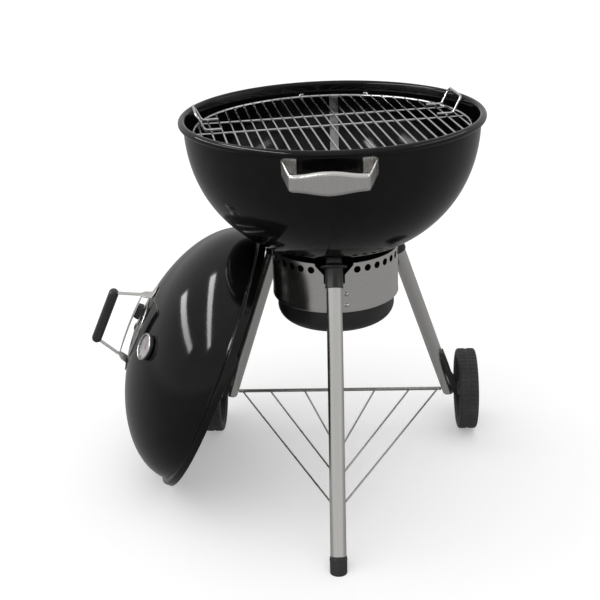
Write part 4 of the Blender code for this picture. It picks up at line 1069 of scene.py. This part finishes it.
def make_grip(rise):
    """The moulded grip: flat-sided with soft corners, full at its ends, and a parting line round it."""
    sections, around_it = 48, 64
    half_length, half_width, half_height = 0.0595, 0.0140, 0.0100
    bm = bmesh.new()
    rings = []
    for i in range(sections + 1):
        t = -1 + 2 * i / sections
        t = math.copysign(abs(t) ** 0.6, t) if t else 0.0
        end = max(0.0, (abs(t) - 0.87) / 0.13)
        squeeze = math.sqrt(max(0.0, 1 - end**2 * 0.96))
        swell = 0.94 + 0.06 * math.cos(t * math.pi / 2)
        ring = []
        for k in range(around_it):
            a = TAU * k / around_it
            x = math.copysign(
                abs(math.cos(a)) ** 0.62, math.cos(a)
            ) * half_width * (1 - 0.35 * (1 - squeeze)) * swell
            z = math.copysign(abs(math.sin(a)) ** 0.62, math.sin(a)) * half_height * squeeze
            groove = 0.00035 if k in (0, around_it // 2) and end < 0.5 else 0.0
            x -= math.copysign(groove, x)
            ring.append(bm.verts.new((x, t * half_length, rise + z)))
        rings.append(ring)
    for a, b in zip(rings, rings[1:]):
        for k in range(around_it):
            n = (k + 1) % around_it
            bm.faces.new((a[k], a[n], b[n], b[k]))
    bm.faces.new(rings[0][::-1])
    bm.faces.new(rings[-1])
    piece("lid_grip", bm, "black_plastic", "lid", ["lid_handle_grip"], LID)


# ---- Thermometer ---------------------------------------------------------------------------------


def on_gauge(name, profile, look, nodes, sharp=50, steps=96, closed=False):
    bm = bmesh.new()
    lathe(bm, profile, steps, closed=closed)
    return piece(name, bm, look, "lid", nodes, GAUGE, sharp)


def make_thermometer():
    case = [
        (0.0240, 0.0076), (0.0252, 0.0078), (0.0255, 0.0074), (0.0255, 0.0030), (0.0250, 0.0020),
        (0.0236, 0.0014)
    ]
    case += [(0.0110, 0.0010), (0, 0.0010), (0, 0.0030), (0.0236, 0.0030), (0.0240, 0.0034)]
    on_gauge("gauge_case", case, "chrome", ["thermometer_case"], 30)
    bezel = arc((0.0249, 0.0086), 0.0017, 200, -30, 14) + [(0.0264, 0.0081), (0.0226, 0.0081)]
    on_gauge("gauge_bezel", bezel, "chrome", ["thermometer_bezel"], closed=True)
    dial = [
        (0, 0.0042), (0.0165, 0.0042), (0.0168, 0.00425), (0.0224, 0.00425), (0.0234, 0.0040),
        (0.0235, 0.0034), (0, 0.0034)
    ]
    on_gauge("gauge_dial", dial, "dial", ["thermometer_dial"])
    bm = bmesh.new()
    for k in range(31):
        size = (0.0040, 0.0008, 0.0002) if k % 5 == 0 else (0.0022, 0.0004, 0.0002)
        box(
            bm, size, (0.0218 - size[0] / 2, 0, 0.0043), Matrix.Rotation(math.radians(-220 + 9 * k), 4, "Z")
        )
    bevelled(piece("gauge_ticks", bm, "dial_ink", "lid", (), GAUGE), 0.00005, 1)
    glass_profile = [(0, 0.0075), (0.0120, 0.0075), (0.0235, 0.0073), (0.0236, 0.0063), (0, 0.0063)]
    on_gauge("gauge_glass", glass_profile, "glass", ["thermometer_glass"])
    bm = bmesh.new()
    lathe(
        bm, [(0, 0.0059), (0.0014, 0.0058), (0.0021, 0.0054), (0.0022, 0.0046), (0, 0.0046)], 32,
        closed=False
    )
    outline = [
        (0.0008, -0.0055), (0.0008, 0.0), (0.0003, 0.0165), (-0.0003, 0.0165), (-0.0008, 0.0),
        (-0.0008, -0.0055)
    ]
    layers = [[bm.verts.new((x, y, z)) for x, y in outline] for z in (0.0055, 0.0051)]
    bm.faces.new(layers[0])
    bm.faces.new(layers[1][::-1])
    for i in range(len(outline)):
        j = (i + 1) % len(outline)
        bm.faces.new((layers[0][i], layers[0][j], layers[1][j], layers[1][i]))
    piece("gauge_needle", bm, "needle", "needle", ["thermometer_needle"], GAUGE)


# ---- CAD nodes that keep their shape -------------------------------------------------------------

KEPT = {
    "zinc": [
        "grate_bracket_1", "grate_bracket_2", "grate_bracket_3", "sweeper_blades", "sweeper_shaft",
        "sweeper_collar", "sweeper_lever", "thermometer_stem"
    ],
    "black_plastic": ["sweeper_knob"],
}


def dress_kept_nodes():
    for look, nodes in KEPT.items():
        for node in nodes:
            obj = frame["nodes"][node]
            for i in range(len(obj.material_slots)):
                obj.material_slots[i].material = LOOKS[look]
            bevelled(obj, 0.0004, 2, 35)


# ---- Studio --------------------------------------------------------------------------------------


def make_floor():
    bm = bmesh.new()
    bmesh.ops.create_grid(bm, x_segments=1, y_segments=1, size=14)
    mesh = bpy.data.meshes.new("floor")
    bm.to_mesh(mesh)
    bm.free()
    floor = bpy.data.objects.new("floor", mesh)
    bpy.context.scene.collection.objects.link(floor)
    m = Nodes("look_floor", (0.78, 0.78, 0.78), 0.7)
    m.set("Specular IOR Level", 0.1)
    m.set("Emission Color", (1, 1, 1, 1))
    m.set("Emission Strength", 0.30)
    mesh.materials.append(m.material)
    floor.visible_glossy = False


def strip_light(name, start, end, target, width, radiance):
    """A long soft light from start to end that faces the target and shows only in glossy surfaces."""
    start, end, target = Vector(start), Vector(end), Vector(target)
    middle, along = (start + end) / 2, (end - start)
    light = bpy.data.lights.new(name, "AREA")
    light.shape = "RECTANGLE"
    light.size, light.size_y = along.length, width
    light.energy = radiance * math.pi * along.length * width
    obj = bpy.data.objects.new(name, light)
    bpy.context.scene.collection.objects.link(obj)
    back = (middle - target).normalized()
    across = along.normalized()
    up = back.cross(across).normalized()
    obj.matrix_world = Matrix((across, up, across.cross(up))).transposed().to_4x4()
    obj.location = middle
    return obj


def make_lights():
    grill = (-0.05, 0.0, 0.45)
    strips = [
        ("strip_left", (-3.2, 1.9, 2.1), (-3.2, -1.5, 2.1), 0.30, 11),
        ("strip_over", (-1.8, 1.2, 3.0), (-1.95, -3.2, 3.0), 0.34, 16),
        ("strip_right", (3.1, 1.6, 2.2), (3.1, -1.6, 2.2), 0.30, 5),
    ]
    for name, start, end, width, radiance in strips:
        strip_light(name, start, end, grill, width, radiance).visible_diffuse = False
    sun = bpy.data.lights.new("sky", "SUN")
    sun.energy = 1.25
    sun.angle = math.radians(100)
    obj = bpy.data.objects.new("sky", sun)
    bpy.context.scene.collection.objects.link(obj)
    obj.rotation_euler = (math.radians(12), math.radians(-14), 0)
    obj.visible_glossy = False


def make_world():
    """White behind the grill; for its lighting and reflections a grey room, darker below than above."""
    world = bpy.data.worlds.new("studio")
    bpy.context.scene.world = world
    world.use_nodes = True
    tree = world.node_tree
    tree.nodes.clear()
    new = tree.nodes.new
    out, mix, path = new("ShaderNodeOutputWorld"), new("ShaderNodeMixShader"), new("ShaderNodeLightPath")
    seen, lit = new("ShaderNodeBackground"), new("ShaderNodeBackground")
    seen.inputs["Color"].default_value = (1, 1, 1, 1)
    place, split, ramp = new("ShaderNodeTexCoord"), new("ShaderNodeSeparateXYZ"), new("ShaderNodeValToRGB")
    half = new("ShaderNodeMapRange")
    half.inputs["From Min"].default_value = -1
    points = ramp.color_ramp.elements
    levels = [(0.0, 0.22), (0.46, 0.36), (0.53, 0.62), (0.75, 0.55), (1.0, 0.75)]
    while len(points) < len(levels):
        points.new(0.5)
    for point, (where, level) in zip(points, levels):
        point.position = where
        point.color = (level, level, level, 1)
    tree.links.new(place.outputs["Generated"], split.inputs[0])
    tree.links.new(split.outputs["Z"], half.inputs["Value"])
    tree.links.new(half.outputs[0], ramp.inputs["Fac"])
    tree.links.new(ramp.outputs["Color"], lit.inputs["Color"])
    tree.links.new(path.outputs["Is Camera Ray"], mix.inputs["Fac"])
    tree.links.new(lit.outputs[0], mix.inputs[1])
    tree.links.new(seen.outputs[0], mix.inputs[2])
    tree.links.new(mix.outputs[0], out.inputs["Surface"])


def make_camera():
    camera = bpy.data.cameras.new("camera")
    camera.sensor_width = 36.0
    camera.lens = 68.34
    camera.clip_end = 60
    obj = bpy.data.objects.new("camera", camera)
    bpy.context.scene.collection.objects.link(obj)
    yaw, pitch, roll = math.radians(-3.02), math.radians(22.42), math.radians(-2.12)
    ahead = Vector((math.sin(yaw) * math.cos(pitch), math.cos(yaw) * math.cos(pitch), -math.sin(pitch)))
    right = Vector((math.cos(yaw), -math.sin(yaw), 0))
    up = right.cross(ahead)
    right_rolled = right * math.cos(roll) + up * math.sin(roll)
    up_rolled = up * math.cos(roll) - right * math.sin(roll)
    turn = Matrix((right_rolled, up_rolled, -ahead)).transposed().to_4x4()
    obj.matrix_world = KETTLE @ Matrix.Translation((0.039, -2.104, 1.253)) @ turn
    bpy.context.scene.camera = obj


def make_studio():
    make_floor()
    make_world()
    make_lights()
    make_camera()
    bpy.context.scene.view_settings.view_transform = "Standard"


make_bowl()
make_bowl_handle("front", 0.0)
make_bowl_handle("rear", math.pi)
make_handle_screws()
make_legs()
make_foot()
for wheel_side, wheel_sign in (("left", -1), ("right", 1)):
    make_tyre(wheel_side, wheel_sign)
    make_hub(wheel_side, wheel_sign)
    make_axle(wheel_side, wheel_sign)
    make_bracket(wheel_side, wheel_sign)
make_rack()
make_ring()
make_ring_fixings()
make_bucket()
make_cooking_grate()
make_charcoal_grate()
make_lid_shell()
make_damper()
make_lid_handle()
make_thermometer()
dress_kept_nodes()
make_studio()
